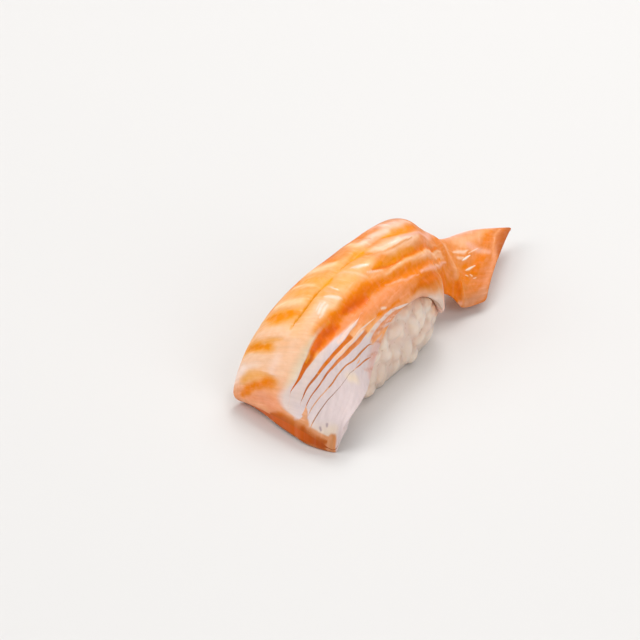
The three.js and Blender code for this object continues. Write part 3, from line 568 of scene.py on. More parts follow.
# The belly fat, a cool white, creamy towards the flesh and pink where it thins at the hem.
COOL_FAT = "dccac8"
CREAM_FAT = "edd6b8"
WARM_FAT = "e6d0c6"
PINK_FAT = "dcaa9a"
FAT_CRACK = "e6a284"
SPECK = "a08890"
fat = np.broadcast_to(fractions(COOL_FAT), run.shape + (3,)).copy()
FAT_TINTS = [
    (WARM_FAT, 0.9, 1.0, 0, [(0.5, 0.06, 1.2), (1.0, 0.14, 1.4), (1.8, 0.12, 1.4), (2.6, 0.04, 1.4)]),
    (CREAM_FAT, 1.0, 1.0, 0, [(1.6, 0.16, 0.9), (2.2, 0.06, 1.6), (2.7, -0.02, 1.9), (3.2, -0.1, 1.8),
                              (3.6, -0.16, 1.4)]),
    (WARM_FAT, 0.7, 1.0, 0, [(1.2, 0.0, 1.0), (2.0, -0.1, 1.0), (2.8, -0.22, 0.9)]),
    # A pale pink strip of painted highlight on the fat in the fold.
    (PALE_PINK, 0.8, 0.9, 0, [(3.2, -0.38, 0.4), (3.6, -0.435, 0.45), (4.1, -0.51, 0.4)]),
    (PALE_PEACH, 0.9, 0.9, 0, [(2.8, -0.40, 0.4), (3.3, -0.5, 0.4), (4.4, -0.68, 0.4)]),
    (CREAM_FAT, 0.7, 1.0, 0, [(2.45, -0.62, 1.0), (2.6, -0.70, 1.2)]),
    (CREAM_FAT, 0.6, 1.0, 0, [(0.0, -0.42, 1.6), (0.1, -0.6, 1.8), (0.45, -0.72, 1.2)]),
    # A cream line on the hem's fat: partly the fat's colour, partly painted wet highlight.
    (CREAM_FAT, 0.7, 1.0, 0, [(3.9, -0.69, 0.4), (4.3, -0.75, 0.4)]),
    (PINK_FAT, 0.6, 1.0, 0, [(3.3, -0.97, 1.2), (3.9, -0.9, 1.4), (4.4, -0.93, 1.4), (5.0, -0.98, 1.0)]),
    (PINK_FAT, 0.8, 0.7, 0, [(3.55, -0.86, 0.2), (3.8, -0.95, 0.25)]),
    (PINK_FAT, 0.8, 0.7, 0, [(4.05, -0.84, 0.2), (4.3, -0.96, 0.3)]),
    # A pale strip along the hem's fat, partly painted wet highlight; the cracks after it break that
    # highlight up.
    ("f2d4c4", 0.8, 0.9, 0, [(4.3, -0.76, 0.5), (4.9, -0.85, 0.6), (5.3, -0.93, 0.6), (5.8, -0.98, 0.5)]),
    (FAT_CRACK, 0.7, 0.9, 0, [(4.08, -0.72, 0.1), (4.14, -0.745, 0.25), (4.2, -0.77, 0.1)]),
    (FAT_CRACK, 0.7, 0.9, 0, [(4.42, -0.755, 0.1), (4.5, -0.79, 0.25), (4.56, -0.82, 0.1)]),
    (FAT_CRACK, 0.7, 0.9, 0, [(4.78, -0.815, 0.1), (4.84, -0.84, 0.22), (4.92, -0.87, 0.1)]),
    (FAT_CRACK, 0.7, 0.9, 0, [(5.1, -0.86, 0.1), (5.18, -0.89, 0.2), (5.26, -0.92, 0.1)]),
    (SPECK, 0.7, 0.8, 0, [(0.36, -0.5, 0.2), (0.46, -0.46, 0.25)]),
    (SPECK, 0.7, 0.8, 0, [(0.62, -0.57, 0.2), (0.72, -0.55, 0.25)]),
]
# Faint streaks lean across the fat where it thins at the hem, in three rows and four slants.
STREAKS_ALONG = np.arange(3.15, 4.9, 0.13)
STREAKS_ACROSS = -0.80
STREAK_ROW = 0.05
STREAK_FALL = 0.06              # how much nearer the hem they start, for a cut past this one
STREAK_FALL_FROM = 4.0
STREAK_LEAN = 0.22
STREAK_LEAN_MORE = 0.05
for k, start_along in enumerate(STREAKS_ALONG):
    fall = STREAK_FALL * max(start_along - STREAK_FALL_FROM, 0)
    start_across = STREAKS_ACROSS - STREAK_ROW * (k % 3) - fall
    lean = STREAK_LEAN + STREAK_LEAN_MORE * (k % 4)
    places = [(start_along, start_across, 0.06), (start_along + 0.4 * lean, start_across - 0.06, 0.2),
              (start_along + lean, start_across - 0.14, 0.06)]
    FAT_TINTS.append(("c4846c" if k % 2 else "d4947c", 0.5, 0.9, 0, places))
paint(fat, FAT_TINTS)

# Thin lines of flesh in the fat, and of fat in the flesh, by places as above. They are kept
# as fields, the distance from the line's middle in half widths, so that their edges are crisp.
FLESH_LINES = {
    "great_fold": [(1.38, 0.07, 0.06), (1.7, 0.035, 0.2), (2.0, -0.005, 0.34), (2.25, -0.045, 0.55),
                   (2.5, -0.09, 0.8), (2.75, -0.135, 1.1), (3.0, -0.185, 1.4), (3.3, -0.238, 1.8),
                   (3.6, -0.29, 2.1), (4.0, -0.36, 2.3), (4.5, -0.42, 2.6)],
    "first_line": [(1.2, -0.056, 0.05), (1.45, -0.085, 0.12), (1.7, -0.122, 0.18), (2.0, -0.18, 0.24),
                   (2.4, -0.265, 0.33), (2.7, -0.335, 0.38), (3.0, -0.395, 0.42), (3.4, -0.468, 0.5),
                   (3.8, -0.535, 0.75), (4.2, -0.59, 1.2)],
    "second_line": [(0.6, -0.145, 0.5), (0.9, -0.14, 0.12), (1.2, -0.15, 0.09), (1.45, -0.18, 0.10),
                    (1.7, -0.225, 0.13), (2.0, -0.28, 0.17), (2.3, -0.33, 0.22), (2.6, -0.40, 0.3),
                    (2.9, -0.466, 0.36), (3.2, -0.53, 0.42), (3.5, -0.59, 0.5), (3.8, -0.642, 0.4),
                    (4.1, -0.682, 0.3), (4.45, -0.725, 0.3), (4.8, -0.79, 0.35), (5.2, -0.85, 0.8)],
    "third_line": [(0.65, -0.2, 0.03), (1.15, -0.236, 0.10), (1.5, -0.29, 0.11), (1.7, -0.335, 0.12),
                   (2.0, -0.40, 0.14), (2.3, -0.45, 0.14), (2.6, -0.51, 0.15), (2.8, -0.555, 0.16),
                   (3.0, -0.603, 0.19), (3.3, -0.668, 0.2), (3.6, -0.725, 0.18), (3.8, -0.775, 0.12),
                   (3.95, -0.84, 0.03)],
    "fourth_line": [(0.1, -0.315, 0.05), (0.5, -0.312, 0.11), (0.9, -0.331, 0.10), (1.2, -0.362, 0.09),
                    (1.5, -0.41, 0.08), (1.75, -0.465, 0.07), (2.0, -0.515, 0.05), (2.3, -0.565, 0.04),
                    (2.6, -0.61, 0.04), (2.85, -0.67, 0.07), (3.1, -0.72, 0.14), (3.3, -0.76, 0.17),
                    (3.5, -0.82, 0.17), (3.65, -0.87, 0.03)],
    "cross_line": [(3.08, -0.68, 0.05), (3.18, -0.695, 0.14), (3.28, -0.70, 0.05)],
    "hem_flesh": [(4.0, -0.785, 0.05), (4.25, -0.81, 0.28), (4.6, -0.85, 0.42), (4.9, -0.895, 0.4),
                  (5.3, -0.97, 0.3)],
    "hem_streak": [(4.1, -0.83, 0.05), (4.35, -0.875, 0.22), (4.6, -0.93, 0.2), (4.8, -0.98, 0.05)],
}
FAT_LINES = {
    "fold_fat": [(2.9, -0.325, 0.3), (3.25, -0.385, 0.32), (3.6, -0.435, 0.3), (3.85, -0.475, 0.22),
                 (4.08, -0.505, 0.03)],
    "inner_fat": [(2.6, -0.355, 0.03), (2.85, -0.405, 0.10), (3.0, -0.435, 0.16), (3.3, -0.495, 0.17),
                  (3.6, -0.545, 0.17), (3.9, -0.588, 0.2), (4.15, -0.638, 0.18), (4.45, -0.695, 0.03)],
    "hem_fat": [(3.6, -0.68, 0.3), (4.0, -0.73, 0.6), (4.25, -0.755, 0.5), (4.6, -0.805, 0.45),
                (4.9, -0.85, 0.4), (5.15, -0.885, 0.35), (5.4, -0.94, 0.3), (5.7, -0.985, 0.2)],
    "low_fat": [(4.55, -0.9, 0.05), (4.72, -0.94, 0.3), (4.9, -0.99, 0.25)],
}


def through(places, column, along):
    """Smooth value of one column of a line's places; it stays level past both ends."""
    known = np.array(places)
    at, value = known[:, 0], known[:, column]
    slope = np.gradient(value, at)
    along = np.clip(along, at[0], at[-1])
    k = np.clip(np.searchsorted(at, along, side="right") - 1, 0, len(at) - 2)
    span = at[k + 1] - at[k]
    t = (along - at[k]) / span
    rise = value[k] * (1 + 2 * t) * (1 - t) ** 2 + value[k + 1] * t ** 2 * (3 - 2 * t)
    return rise + span * (slope[k] * t * (1 - t) ** 2 - slope[k + 1] * t ** 2 * (1 - t))


LINE_THIN = 0.03                # mm
LINE_FAR = 40.0                 # half widths: no line reaches so far
LINE_END = 60.0                 # half widths that a cut past the line's end counts for


def line_field(places, along, across):
    """Distance across the line from its middle, in half widths; signed."""
    at = np.array(places)[:, 0]
    past = np.maximum(at[0] - along, 0) + np.maximum(along - at[-1], 0)
    half = np.maximum(through(places, 2, along), LINE_THIN)
    away = (across - through(places, 1, along)) * flank_width(along, across)
    away = swayed(away, LINE_SWAYS)
    return np.clip(away / half, -LINE_FAR, LINE_FAR) + np.sign(away) * past * LINE_END


# The fat reaches from its upper edge down to the right hem, and from the foot to mid slice.
# The edge is given as places along and across, the end as places across and along.
FAT_EDGE = [(0.0, -0.02), (0.3, 0.0), (0.45, 0.08), (0.65, 0.14), (0.85, 0.17), (1.1, 0.18),
            (1.5, 0.14), (2.0, 0.09), (2.5, 0.03), (2.9, -0.04), (3.2, -0.12), (3.5, -0.2), (4.6, -0.35)]
FAT_END = [(-1.0, 4.7), (-0.9, 4.15), (-0.75, 4.05), (-0.6, 4.0), (-0.45, 4.05), (-0.2, 3.7), (0.2, 3.4)]
CUT_RUN = 8.5                   # mm from cut to cut there
# Bare flesh shows round the edge of the cut foot, and on the underside beside it.
FOOT_FLESH = [
    [(0.0, 0.3, 0.9), (0.0, 0.0, 0.8), (0.0, -0.17, 1.5), (0.3, -0.19, 0.95), (0.6, -0.165, 0.4),
     (0.95, -0.14, 0.12)],
    [(-0.2, -0.84, 1.5), (0.12, -0.80, 0.9)],
    [(0.0, -0.17, 1.2), (0.0, -0.45, 1.0), (0.0, -0.72, 0.7)],
]
UNDER_FLESH_ALONG = (0.3, 0.8)
UNDER_FLESH_ACROSS = (-0.9, -0.6)
PATCH_SOFTNESS = 0.7
belly_fat = (through(FAT_EDGE, 1, along) - across) * flank_width(along, across)
fat_end = (through(FAT_END, 1, across) - along) * CUT_RUN
foot_flesh = np.max([stroke_share(places, PATCH_SOFTNESS) for places in FOOT_FLESH], axis=0)
under_flesh = (1 - smooth(along, *UNDER_FLESH_ALONG)) * smooth(across, *UNDER_FLESH_ACROSS)
under_flesh = np.maximum(foot_flesh, under_flesh)

# Where the slice is wettest: the crest, the furrows, the hem of the fat and the tail.
WET = [
    [(3.62, -0.04, 0.2), (3.85, -0.06, 0.25)],
    [(4.1, -0.05, 0.2), (4.15, -0.16, 0.25)],
    [(4.43, 0.02, 0.3), (4.43, -0.12, 0.3)],
    [(5.2, -0.07, 0.4), (5.48, -0.22, 0.4)],
    [(6.1, -0.12, 0.3), (6.5, -0.2, 0.35)],
    [(6.9, 0.1, 0.4), (7.2, 0.03, 0.4)],
    [(5.3, -0.28, 0.25), (6.2, -0.47, 0.3)],
    [(3.5, -0.42, 0.25), (4.0, -0.5, 0.3)],
    [(4.8, -0.71, 0.3), (5.0, -0.76, 0.3)],
    [(4.0, -0.71, 0.4), (4.8, -0.83, 0.5), (5.6, -0.96, 0.4)],
    [(8.3, -0.72, 0.35), (9.2, -0.62, 0.3)],
    [(10.7, -0.14, 0.3), (11.0, -0.04, 0.4), (11.36, 0.2, 0.3)],
    [(11.05, -0.33, 0.3), (11.48, -0.14, 0.3)],
    [(11.05, -0.42, 0.3), (11.42, -0.4, 0.3)],
]
WET_ALL_OVER = 0.06
wet = np.full(run.shape, WET_ALL_OVER)
for places in WET:
    wet += (1 - wet) * stroke_share(places, PATCH_SOFTNESS)


def ball(share):
    """Height of a rounded edge at this share of its radius in from the edge, 0 to 1."""
    return np.sqrt(1 - (1 - np.clip(share, 0, 1)) ** 2)


def slice_faces(along, across):
    """Points of the two faces of the slice, the top and the underside."""
    taper = np.clip((along - LAST_CUT + TAIL_TAPER_CUTS) / TAIL_TAPER_CUTS, 0, 1)
    middle = between_cuts(along, THICK) * np.sqrt(1 - TAIL_TAPER * taper ** TAIL_TAPER_POWER)
    fullness = np.sqrt(np.clip(1 - across ** HEM_POWER, 0, 1))
    thick = HEM_THICK + (middle - HEM_THICK) * fullness
    top = top_of_slice(along, across)
    outwards = out_of_slice(along, across)
    curl = FOOT_CURL * smooth(across, *FOOT_CURL_ACROSS)
    square = np.maximum(smooth(along / FOOT_CUTS), curl)[..., None]
    upright = np.array((0.0, 0.0, 1.0))
    towards_top = unit(upright + (outwards - upright) * square)
    under = top - towards_top * thick[..., None]
    raised = relief * smooth((1 - np.abs(across)) / HEM_FADE) - fold_depth(along, across)
    top = top + outwards * raised[..., None]
    under[..., 2] = np.maximum(under[..., 2], 0)
    return top, under


# The hems and the tail's end close round, and the cut edges of the foot are rounded too: by
# this radius, but by no more than this share of the cut's height.
CUT_ROUND = 1.1
CUT_ROUND_MOST = 0.45
top, under = slice_faces(along, across)
from_hem = (1 - np.abs(across)) * flank_width(along, across)
from_foot = np.linalg.norm(top - top[:1], axis=-1)
from_tail = np.linalg.norm(top - top[-1:], axis=-1)
closing = (ball(from_hem / (HEM_THICK / 2)) * ball(from_tail / (HEM_THICK / 2)))[..., None]
middle = (top + under) / 2
top = middle + (top - middle) * closing
under = middle + (under - middle) * closing
rounding = (1 - ball(from_foot / CUT_ROUND))[..., None] * CUT_ROUND
cut_line = under[0] - top[0]
cut_height = np.linalg.norm(cut_line, axis=-1, keepdims=True)
cut_line = cut_line / np.maximum(cut_height, 1e-6)
rounding = np.minimum(rounding, cut_height[None] * CUT_ROUND_MOST)
top = top + cut_line[None] * rounding
under = under - cut_line[None] * rounding
under[..., 2] = np.maximum(under[..., 2], 0)

points = np.concatenate([top.reshape(-1, 3), under.reshape(-1, 3)])
grid = np.arange(rows * columns).reshape(rows, columns)
below = grid + rows * columns


def quads(a, b, c, d):
    """Four-sided faces from four grids of corners."""
    return np.stack([a, b, c, d], -1).reshape(-1, 4)


faces = [
    quads(grid[:-1, :-1], grid[1:, :-1], grid[1:, 1:], grid[:-1, 1:]),
    quads(below[:-1, :-1], below[:-1, 1:], below[1:, 1:], below[1:, :-1]),
    quads(grid[:-1, 0], below[:-1, 0], below[1:, 0], grid[1:, 0]),
    quads(grid[:-1, -1], grid[1:, -1], below[1:, -1], below[:-1, -1]),
    quads(grid[-1, :-1], below[-1, :-1], below[-1, 1:], grid[-1, 1:]),
]
# The cut face of the foot, in steps from the top edge to the board.
share = np.linspace(0, 1, END_STEPS + 1)[1:-1, None, None]
cut_points = top[0][None] * (1 - share) + under[0][None] * share
steps = np.arange((END_STEPS - 1) * columns).reshape(-1, columns) + len(points)
points = np.concatenate([points, cut_points.reshape(-1, 3)])
ladder = np.concatenate([grid[:1], steps, below[:1]])
faces.append(quads(ladder[:-1, :-1], ladder[:-1, 1:], ladder[1:, 1:], ladder[1:, :-1]))
faces = np.concatenate(faces)


def mesh_piece(name, points, faces, numbers, colours=None):
    """A smooth-shaded mesh object from points in mm, with numbers and colours at each point."""
    mesh = bpy.data.meshes.new(name)
    mesh.from_pydata((points * MM).tolist(), [], faces.tolist())
    for label, values in numbers.items():
        layer = mesh.attributes.new(label, "FLOAT", "POINT")
        layer.data.foreach_set("value", np.asarray(values, np.float32).ravel())
    for label, values in (colours or {}).items():
        layer = mesh.attributes.new(label, "FLOAT_COLOR", "POINT")
        layer.data.foreach_set("color", np.asarray(values, np.float32).ravel())
    mesh.polygons.foreach_set("use_smooth", [True] * len(mesh.polygons))
    mesh.update()
    piece = bpy.data.objects.new(name, mesh)
    bpy.context.scene.collection.objects.link(piece)
    return piece


def to_linear(colour):
    """Red, green and blue as the light that they stand for."""
    return np.where(colour <= 0.04045, colour / 12.92, ((colour + 0.055) / 1.055) ** 2.4)


def on_all_points(values, on_cut):
    """Values of the sheet's grid for both faces, and those for the steps of the cut face."""
    values = values.reshape(rows * columns, -1)
    on_cut = np.broadcast_to(on_cut, (END_STEPS - 1, columns, values.shape[1]))
    return np.concatenate([values, values, on_cut.reshape(-1, values.shape[1])])


def layer_colours(layer):
    """A layer of colour for both faces, with the cut face in its own."""
    colours = on_all_points(np.clip(layer, 0, 1), blend(CUT_FACE_AND_SHADE, across[0]))
    return np.concatenate([to_linear(colours), np.ones((len(colours), 1))], axis=1)


NO_FAT = -9.0                   # mm: the cut face lies this far past the end of the fat
cut_flesh = np.ones((END_STEPS - 1) * columns)
numbers = {
    "fat_end": on_all_points(fat_end, NO_FAT),
    "foot_flesh": np.concatenate([foot_flesh.ravel(), under_flesh.ravel(), cut_flesh]),
}
for name, values in {"run": run, "girth": girth, "belly_fat": belly_fat, "wet": wet}.items():
    numbers[name] = on_all_points(values, values[0, :, None])
for name, places in {**FLESH_LINES, **FAT_LINES}.items():
    numbers[name] = on_all_points(line_field(places, along, across), LINE_FAR)
colours = {"flesh": layer_colours(flesh), "fat": layer_colours(fat)}
salmon = mesh_piece("salmon", points, faces, numbers, colours)


def linear(hex_colour):
    """A colour written as six hex digits, as the linear RGBA that the shader takes."""
    return [*to_linear(fractions(hex_colour)), 1.0]


class Finish:
    """A material under construction: its nodes are added one by one, wired to what they read."""

    def __init__(self, name):
        self.material = bpy.data.materials.new(name)
        self.material.use_nodes = True
        self.tree = self.material.node_tree
        self.tree.nodes.clear()

    def node(self, kind, wires=None, **settings):
        node = self.tree.nodes.new("ShaderNode" + kind)
        for setting, value in settings.items():
            setattr(node, setting, value)
        for socket, value in (wires or {}).items():
            if isinstance(value, bpy.types.NodeSocket):
                self.tree.links.new(value, node.inputs[socket])
            else:
                node.inputs[socket].default_value = value
        return node

    def read(self, attribute, output="Fac"):
        return self.node("Attribute", attribute_name=attribute).outputs[output]

    def math(self, operation, *values):
        return self.node("Math", dict(enumerate(values)), operation=operation).outputs[0]

    def plus(self, first, second):
        return self.math("ADD", first, second)

    def minus(self, first, second):
        return self.math("SUBTRACT", first, second)

    def times(self, first, second):
        return self.math("MULTIPLY", first, second)

    def step(self, value, low, high, to_low=0.0, to_high=1.0):
        """Eased rise or fall, from to_low where the value is low to to_high where it is high."""
        wires = {"Value": value, "From Min": low, "From Max": high, "To Min": to_low, "To Max": to_high}
        return self.node("MapRange", wires, interpolation_type="SMOOTHSTEP").outputs["Result"]

    def mix(self, share, first, second):
        wires = {"Factor": share, 6: first, 7: second}
        return self.node("Mix", wires, data_type="RGBA").outputs[2]

    def noise(self, vector, scale, detail):
        return self.node("TexNoise", {"Vector": vector, "Scale": scale, "Detail": detail}).outputs["Fac"]

    def ramp(self, value, stops):
        node = self.node("ValToRGB", {"Fac": value})
        elements = node.color_ramp.elements
        while len(elements) < len(stops):
            elements.new(1.0)
        for element, (place, colour) in zip(elements, stops):
            element.position = place
            element.color = linear(colour)
        return node.outputs["Color"]


# Raw wet flesh is streaked by its fibres, along the slice and, on the left flank, across it.
# The fat is opaque and stands a little proud of the flesh beside it, and a film of water
# gives broken highlights. Noises are given by their swells in a mm and their detail.
FIBRE_STRETCH = 0.14            # the smaller, the longer are the fibres along the slice,
CROSS_STRETCH = 0.16            # and those across it, which also slant
CROSS_SLANT = 0.15
CROSS_GIRTH = (-5.0, -1.0)      # mm of girth over which the one kind gives way to the other
fish = Finish("salmon_flesh")
run_at, girth_at = fish.read("run"), fish.read("girth")
flat = fish.node("CombineXYZ", {0: run_at, 1: girth_at}).outputs[0]
fibre = fish.node("CombineXYZ", {0: fish.times(run_at, FIBRE_STRETCH), 1: girth_at}).outputs[0]
across_fibre = fish.node("CombineXYZ", {
    0: fish.plus(run_at, fish.times(girth_at, CROSS_SLANT)),
    1: fish.times(girth_at, CROSS_STRETCH),
}).outputs[0]
wobble = fish.minus(fish.noise(flat, 0.45, 2.0), 0.5)
mottle = fish.minus(fish.noise(flat, 0.7, 4.0), 0.5)
along_grain = fish.noise(fibre, 1.1, 4.0)
across_grain = fish.noise(across_fibre, 1.2, 4.0)
on_left = fish.step(girth_at, *CROSS_GIRTH)
grain = fish.plus(fish.times(fish.minus(across_grain, along_grain), on_left), along_grain)
grain = fish.minus(grain, 0.5)

# Where fat shows and flesh doesn't, 0 to 1: its edges are ragged, crisp along its upper side
# and at the lines, and drawn out in threads where it ends.
FAT_EDGE_RAGGED = 0.5
FAT_END_RAGGED = 9.0
FOOT_RAGGED = 0.3
FAT_LINE_RAGGED = 0.9
fat_reach = fish.plus(fish.read("belly_fat"), fish.times(wobble, FAT_EDGE_RAGGED))
fat_until = fish.plus(fish.read("fat_end"), fish.times(grain, FAT_END_RAGGED))
fat_share = fish.times(fish.step(fat_reach, -1.1, 1.1), fish.step(fat_until, -1.2, 1.2))
off_foot = fish.plus(fish.read("foot_flesh"), fish.times(wobble, FOOT_RAGGED))
fat_share = fish.times(fat_share, fish.step(off_foot, 0.75, 0.25))
for name in FLESH_LINES:
    away = fish.math("ABSOLUTE", fish.read(name))
    fat_share = fish.times(fat_share, fish.step(away, 0.75, 1.25))
for name in FAT_LINES:
    away = fish.math("ABSOLUTE", fish.plus(fish.read(name), fish.times(wobble, FAT_LINE_RAGGED)))
    fat_share = fish.math("MAXIMUM", fat_share, fish.step(away, 1.35, 0.6))

# Pale streaks show on pale flesh only, and the fibres darken and lighten all of it a little.
STREAK = "fddcca"
STREAK_MOST = 0.3
GRAIN_LIGHT = 0.26
MOTTLE_LIGHT = 0.12
MOTTLE_DULL = 0.22
colour = fish.mix(fat_share, fish.read("flesh", "Color"), fish.read("fat", "Color"))
paleness = fish.step(fish.node("SeparateColor", {"Color": colour}).outputs["Blue"], 0.01, 0.15)
streak = fish.times(fish.step(grain, 0.05, 0.3, 0.0, STREAK_MOST), fish.minus(1.0, fat_share))
colour = fish.mix(fish.times(streak, paleness), colour, linear(STREAK))
brightness = fish.plus(fish.times(grain, GRAIN_LIGHT), fish.times(mottle, MOTTLE_LIGHT))
colour = fish.node("HueSaturation", {
    "Hue": 0.5,
    "Saturation": fish.minus(1.0, fish.times(mottle, MOTTLE_DULL)),
    "Value": fish.plus(1.0, brightness),
    "Fac": 1.0,
    "Color": colour,
}).outputs[0]

fat_bump = fish.node("Bump", {"Strength": 0.6, "Distance": 0.00015, "Height": fat_share})
fibre_bump = fish.node("Bump", {
    "Strength": 0.35, "Distance": 0.00025, "Height": grain, "Normal": fat_bump.outputs[0],
})
skin_bump = fish.node("Bump", {
    "Strength": 0.3, "Distance": 0.0003, "Height": fish.noise(flat, 1.3, 5.0),
    "Normal": fibre_bump.outputs[0],
})
broken_film = fish.step(fish.noise(flat, 0.55, 2.0), 0.35, 0.6, 0.35, 1.0)
skin = fish.node("BsdfPrincipled", {
    "Base Color": colour,
    "Roughness": 0.48,
    "IOR": 1.4,
    "Specular IOR Level": 0.18,
    "Subsurface Weight": 0.12,
    "Subsurface Radius": (1.0, 0.75, 0.5),
    "Subsurface Scale": 0.0005,
    "Coat Weight": fish.times(fish.read("wet"), broken_film),
    "Coat Roughness": 0.16,
    "Normal": skin_bump.outputs[0],
})
fish.node("OutputMaterial", {"Surface": skin.outputs[0]})
salmon.data.materials.append(fish.material)
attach(salmon, "root")
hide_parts("salmon_slice")

# ---- the rice ----
# Cooked short-grain rice, pressed by hand into a block with round shoulders, flat where it
# stands. Plump grains about 5 mm long and 3 mm wide, swollen with water, are stuck to the
# pressed heart and to each other at every slant.
RICE_MIDDLE = np.array((-1.5, -0.3, 7.0))
RICE_HALF = np.array((26.9, 12.8, 15.6))
RICE_HEADING = math.radians(-6.5)
RICE_CORNER = 3.0               # how square the block is, seen from above and from the side;
RICE_SHOULDER = 2.4             # 2 would be round
HEART_SUNK = 0.1                # the heart lies this far inside the block's outer face
HEART_FACES = (160, 90)         # round it and up it
HEART_TOP = 0.01                # how far below the very top its last ring lies
CLEAR_OF_SLICE = 0.12

slice_tree = BVHTree.FromPolygons(points.tolist(), faces.tolist())


def rice_place(bearing, height):
    """Point of the block's outer face at a bearing and a height, and the way out of it."""
    up = (height - RICE_MIDDLE[2]) / RICE_HALF[2]
    girth = np.clip(1 - np.abs(up) ** RICE_SHOULDER, 0, 1) ** (1 / RICE_SHOULDER)
    plan = np.abs(np.cos(bearing)) ** RICE_CORNER + np.abs(np.sin(bearing)) ** RICE_CORNER
    plan = plan ** (1 / RICE_CORNER)
    ball_point = np.stack([girth * np.cos(bearing) / plan, girth * np.sin(bearing) / plan, up], -1)
    ring = np.maximum(girth, 1e-6) ** (RICE_SHOULDER - RICE_CORNER)
    powers = np.array((RICE_CORNER, RICE_CORNER, RICE_SHOULDER)) - 1
    slope = np.sign(ball_point) * np.abs(ball_point) ** powers / RICE_HALF
    slope[..., :2] *= ring[..., None]
    c, s = math.cos(RICE_HEADING), math.sin(RICE_HEADING)
    turn = np.array(((c, -s, 0), (s, c, 0), (0, 0, 1)))
    return (ball_point * RICE_HALF) @ turn.T + RICE_MIDDLE, unit(slope @ turn.T)


def pressed_under_slice(points):
    """Points that the slice would hold down, brought to just under it; none below the board."""
    points = points.copy()
    for k, (x, y, z) in enumerate(points):
        hit = slice_tree.ray_cast(Vector((x, y, -1.0)), Vector((0, 0, 1)))[0]
        if hit is not None:
            points[k, 2] = min(z, max(hit.z - CLEAR_OF_SLICE, 0.0))
    points[:, 2] = np.maximum(points[:, 2], 0)
    return points


bearing = np.linspace(0, 2 * math.pi, HEART_FACES[0], endpoint=False)
height = np.linspace(0.0, RICE_MIDDLE[2] + RICE_HALF[2] - HEART_TOP, HEART_FACES[1])
heart_bearing, heart_height = np.meshgrid(bearing, height, indexing="xy")
heart_points, heart_out = rice_place(heart_bearing, heart_height)
heart_points = heart_points - heart_out * HEART_SUNK
ring = np.arange(heart_points[..., 0].size).reshape(heart_bearing.shape)
onwards = np.roll(ring, -1, axis=1)
rice_faces = [list(q) for q in quads(ring[:-1], onwards[:-1], onwards[1:], ring[1:])]
rice_faces.append(list(ring[0][::-1]))
rice_faces.append(list(ring[-1]))
rice_points = [pressed_under_slice(heart_points.reshape(-1, 3))]

# A loose grain, a little over size because the skin drawn over them all later pulls in.
GRAIN_LENGTH = 6.2
GRAIN_WIDTH = 3.7
GRAIN_HALVES = (0.5, 0.45, 0.5)  # share of the width, of the width again and of the length
GRAIN_PLUMP = 0.85              # 1 would be an even oval
GRAIN_BEND = 0.12
GRAIN_SPREAD = 0.12             # how much larger or smaller than the rest a grain may be
GRAIN_RING = 16
GRAIN_RINGS = 9
# Grains are tried at places drawn at random over the block's outer face, none too near another.
GRAIN_SEED = 20236
GRAIN_TRIES = 5000
GRAIN_LOWEST = 0.9
GRAIN_RISE = 20.0
GRAIN_SPACING = 3.2
GRAIN_TILT = 0.45
GRAIN_SUNK = (0.5, 1.3)         # from the outer face in to the grain's middle
UP_INTO_SLICE = 0.3             # how high a grain's middle may lie over the slice's underside
BELOW_HEM = 1.0                 # or how far it has to lie below the hem beside it
HEM_POINTS = 200
SPINE_SHARES = (-0.55, 0.0, 0.55)

draw = np.random.default_rng(GRAIN_SEED)
turns = np.linspace(0, 2 * math.pi, GRAIN_RING, endpoint=False)
levels = np.linspace(0, math.pi, GRAIN_RINGS + 2)[1:-1]
level, turn = np.meshgrid(levels, turns, indexing="ij")
belly = np.sin(level) ** GRAIN_PLUMP
grain_body = np.stack([belly * np.cos(turn), belly * np.sin(turn), np.cos(level)], -1).reshape(-1, 3)
grain_body = np.concatenate([grain_body, [(0, 0, 1), (0, 0, -1)]])
belt = np.arange(GRAIN_RINGS * GRAIN_RING).reshape(GRAIN_RINGS, GRAIN_RING)
belt_on = np.roll(belt, -1, axis=1)
grain_faces = [list(q) for q in quads(belt[:-1], belt[1:], belt_on[1:], belt_on[:-1])]
tip, tail = GRAIN_RINGS * GRAIN_RING, GRAIN_RINGS * GRAIN_RING + 1
grain_faces += [[tip, int(a), int(b)] for a, b in zip(belt[0], belt_on[0])]
grain_faces += [[tail, int(b), int(a)] for a, b in zip(belt[-1], belt_on[-1])]

hem = top_of_slice(np.linspace(0, LAST_CUT, HEM_POINTS), np.full(HEM_POINTS, -1.0))


def shows(middle):
    """Whether a grain with this middle lies under the slice or clear of its hem."""
    over = slice_tree.ray_cast(Vector((middle[0], middle[1], -1.0)), Vector((0, 0, 1)))[0]
    if over is not None:
        return middle[2] < over.z + UP_INTO_SLICE
    nearest = hem[np.linalg.norm(hem[:, :2] - middle[:2], axis=1).argmin()]
    return middle[2] < nearest[2] - BELOW_HEM


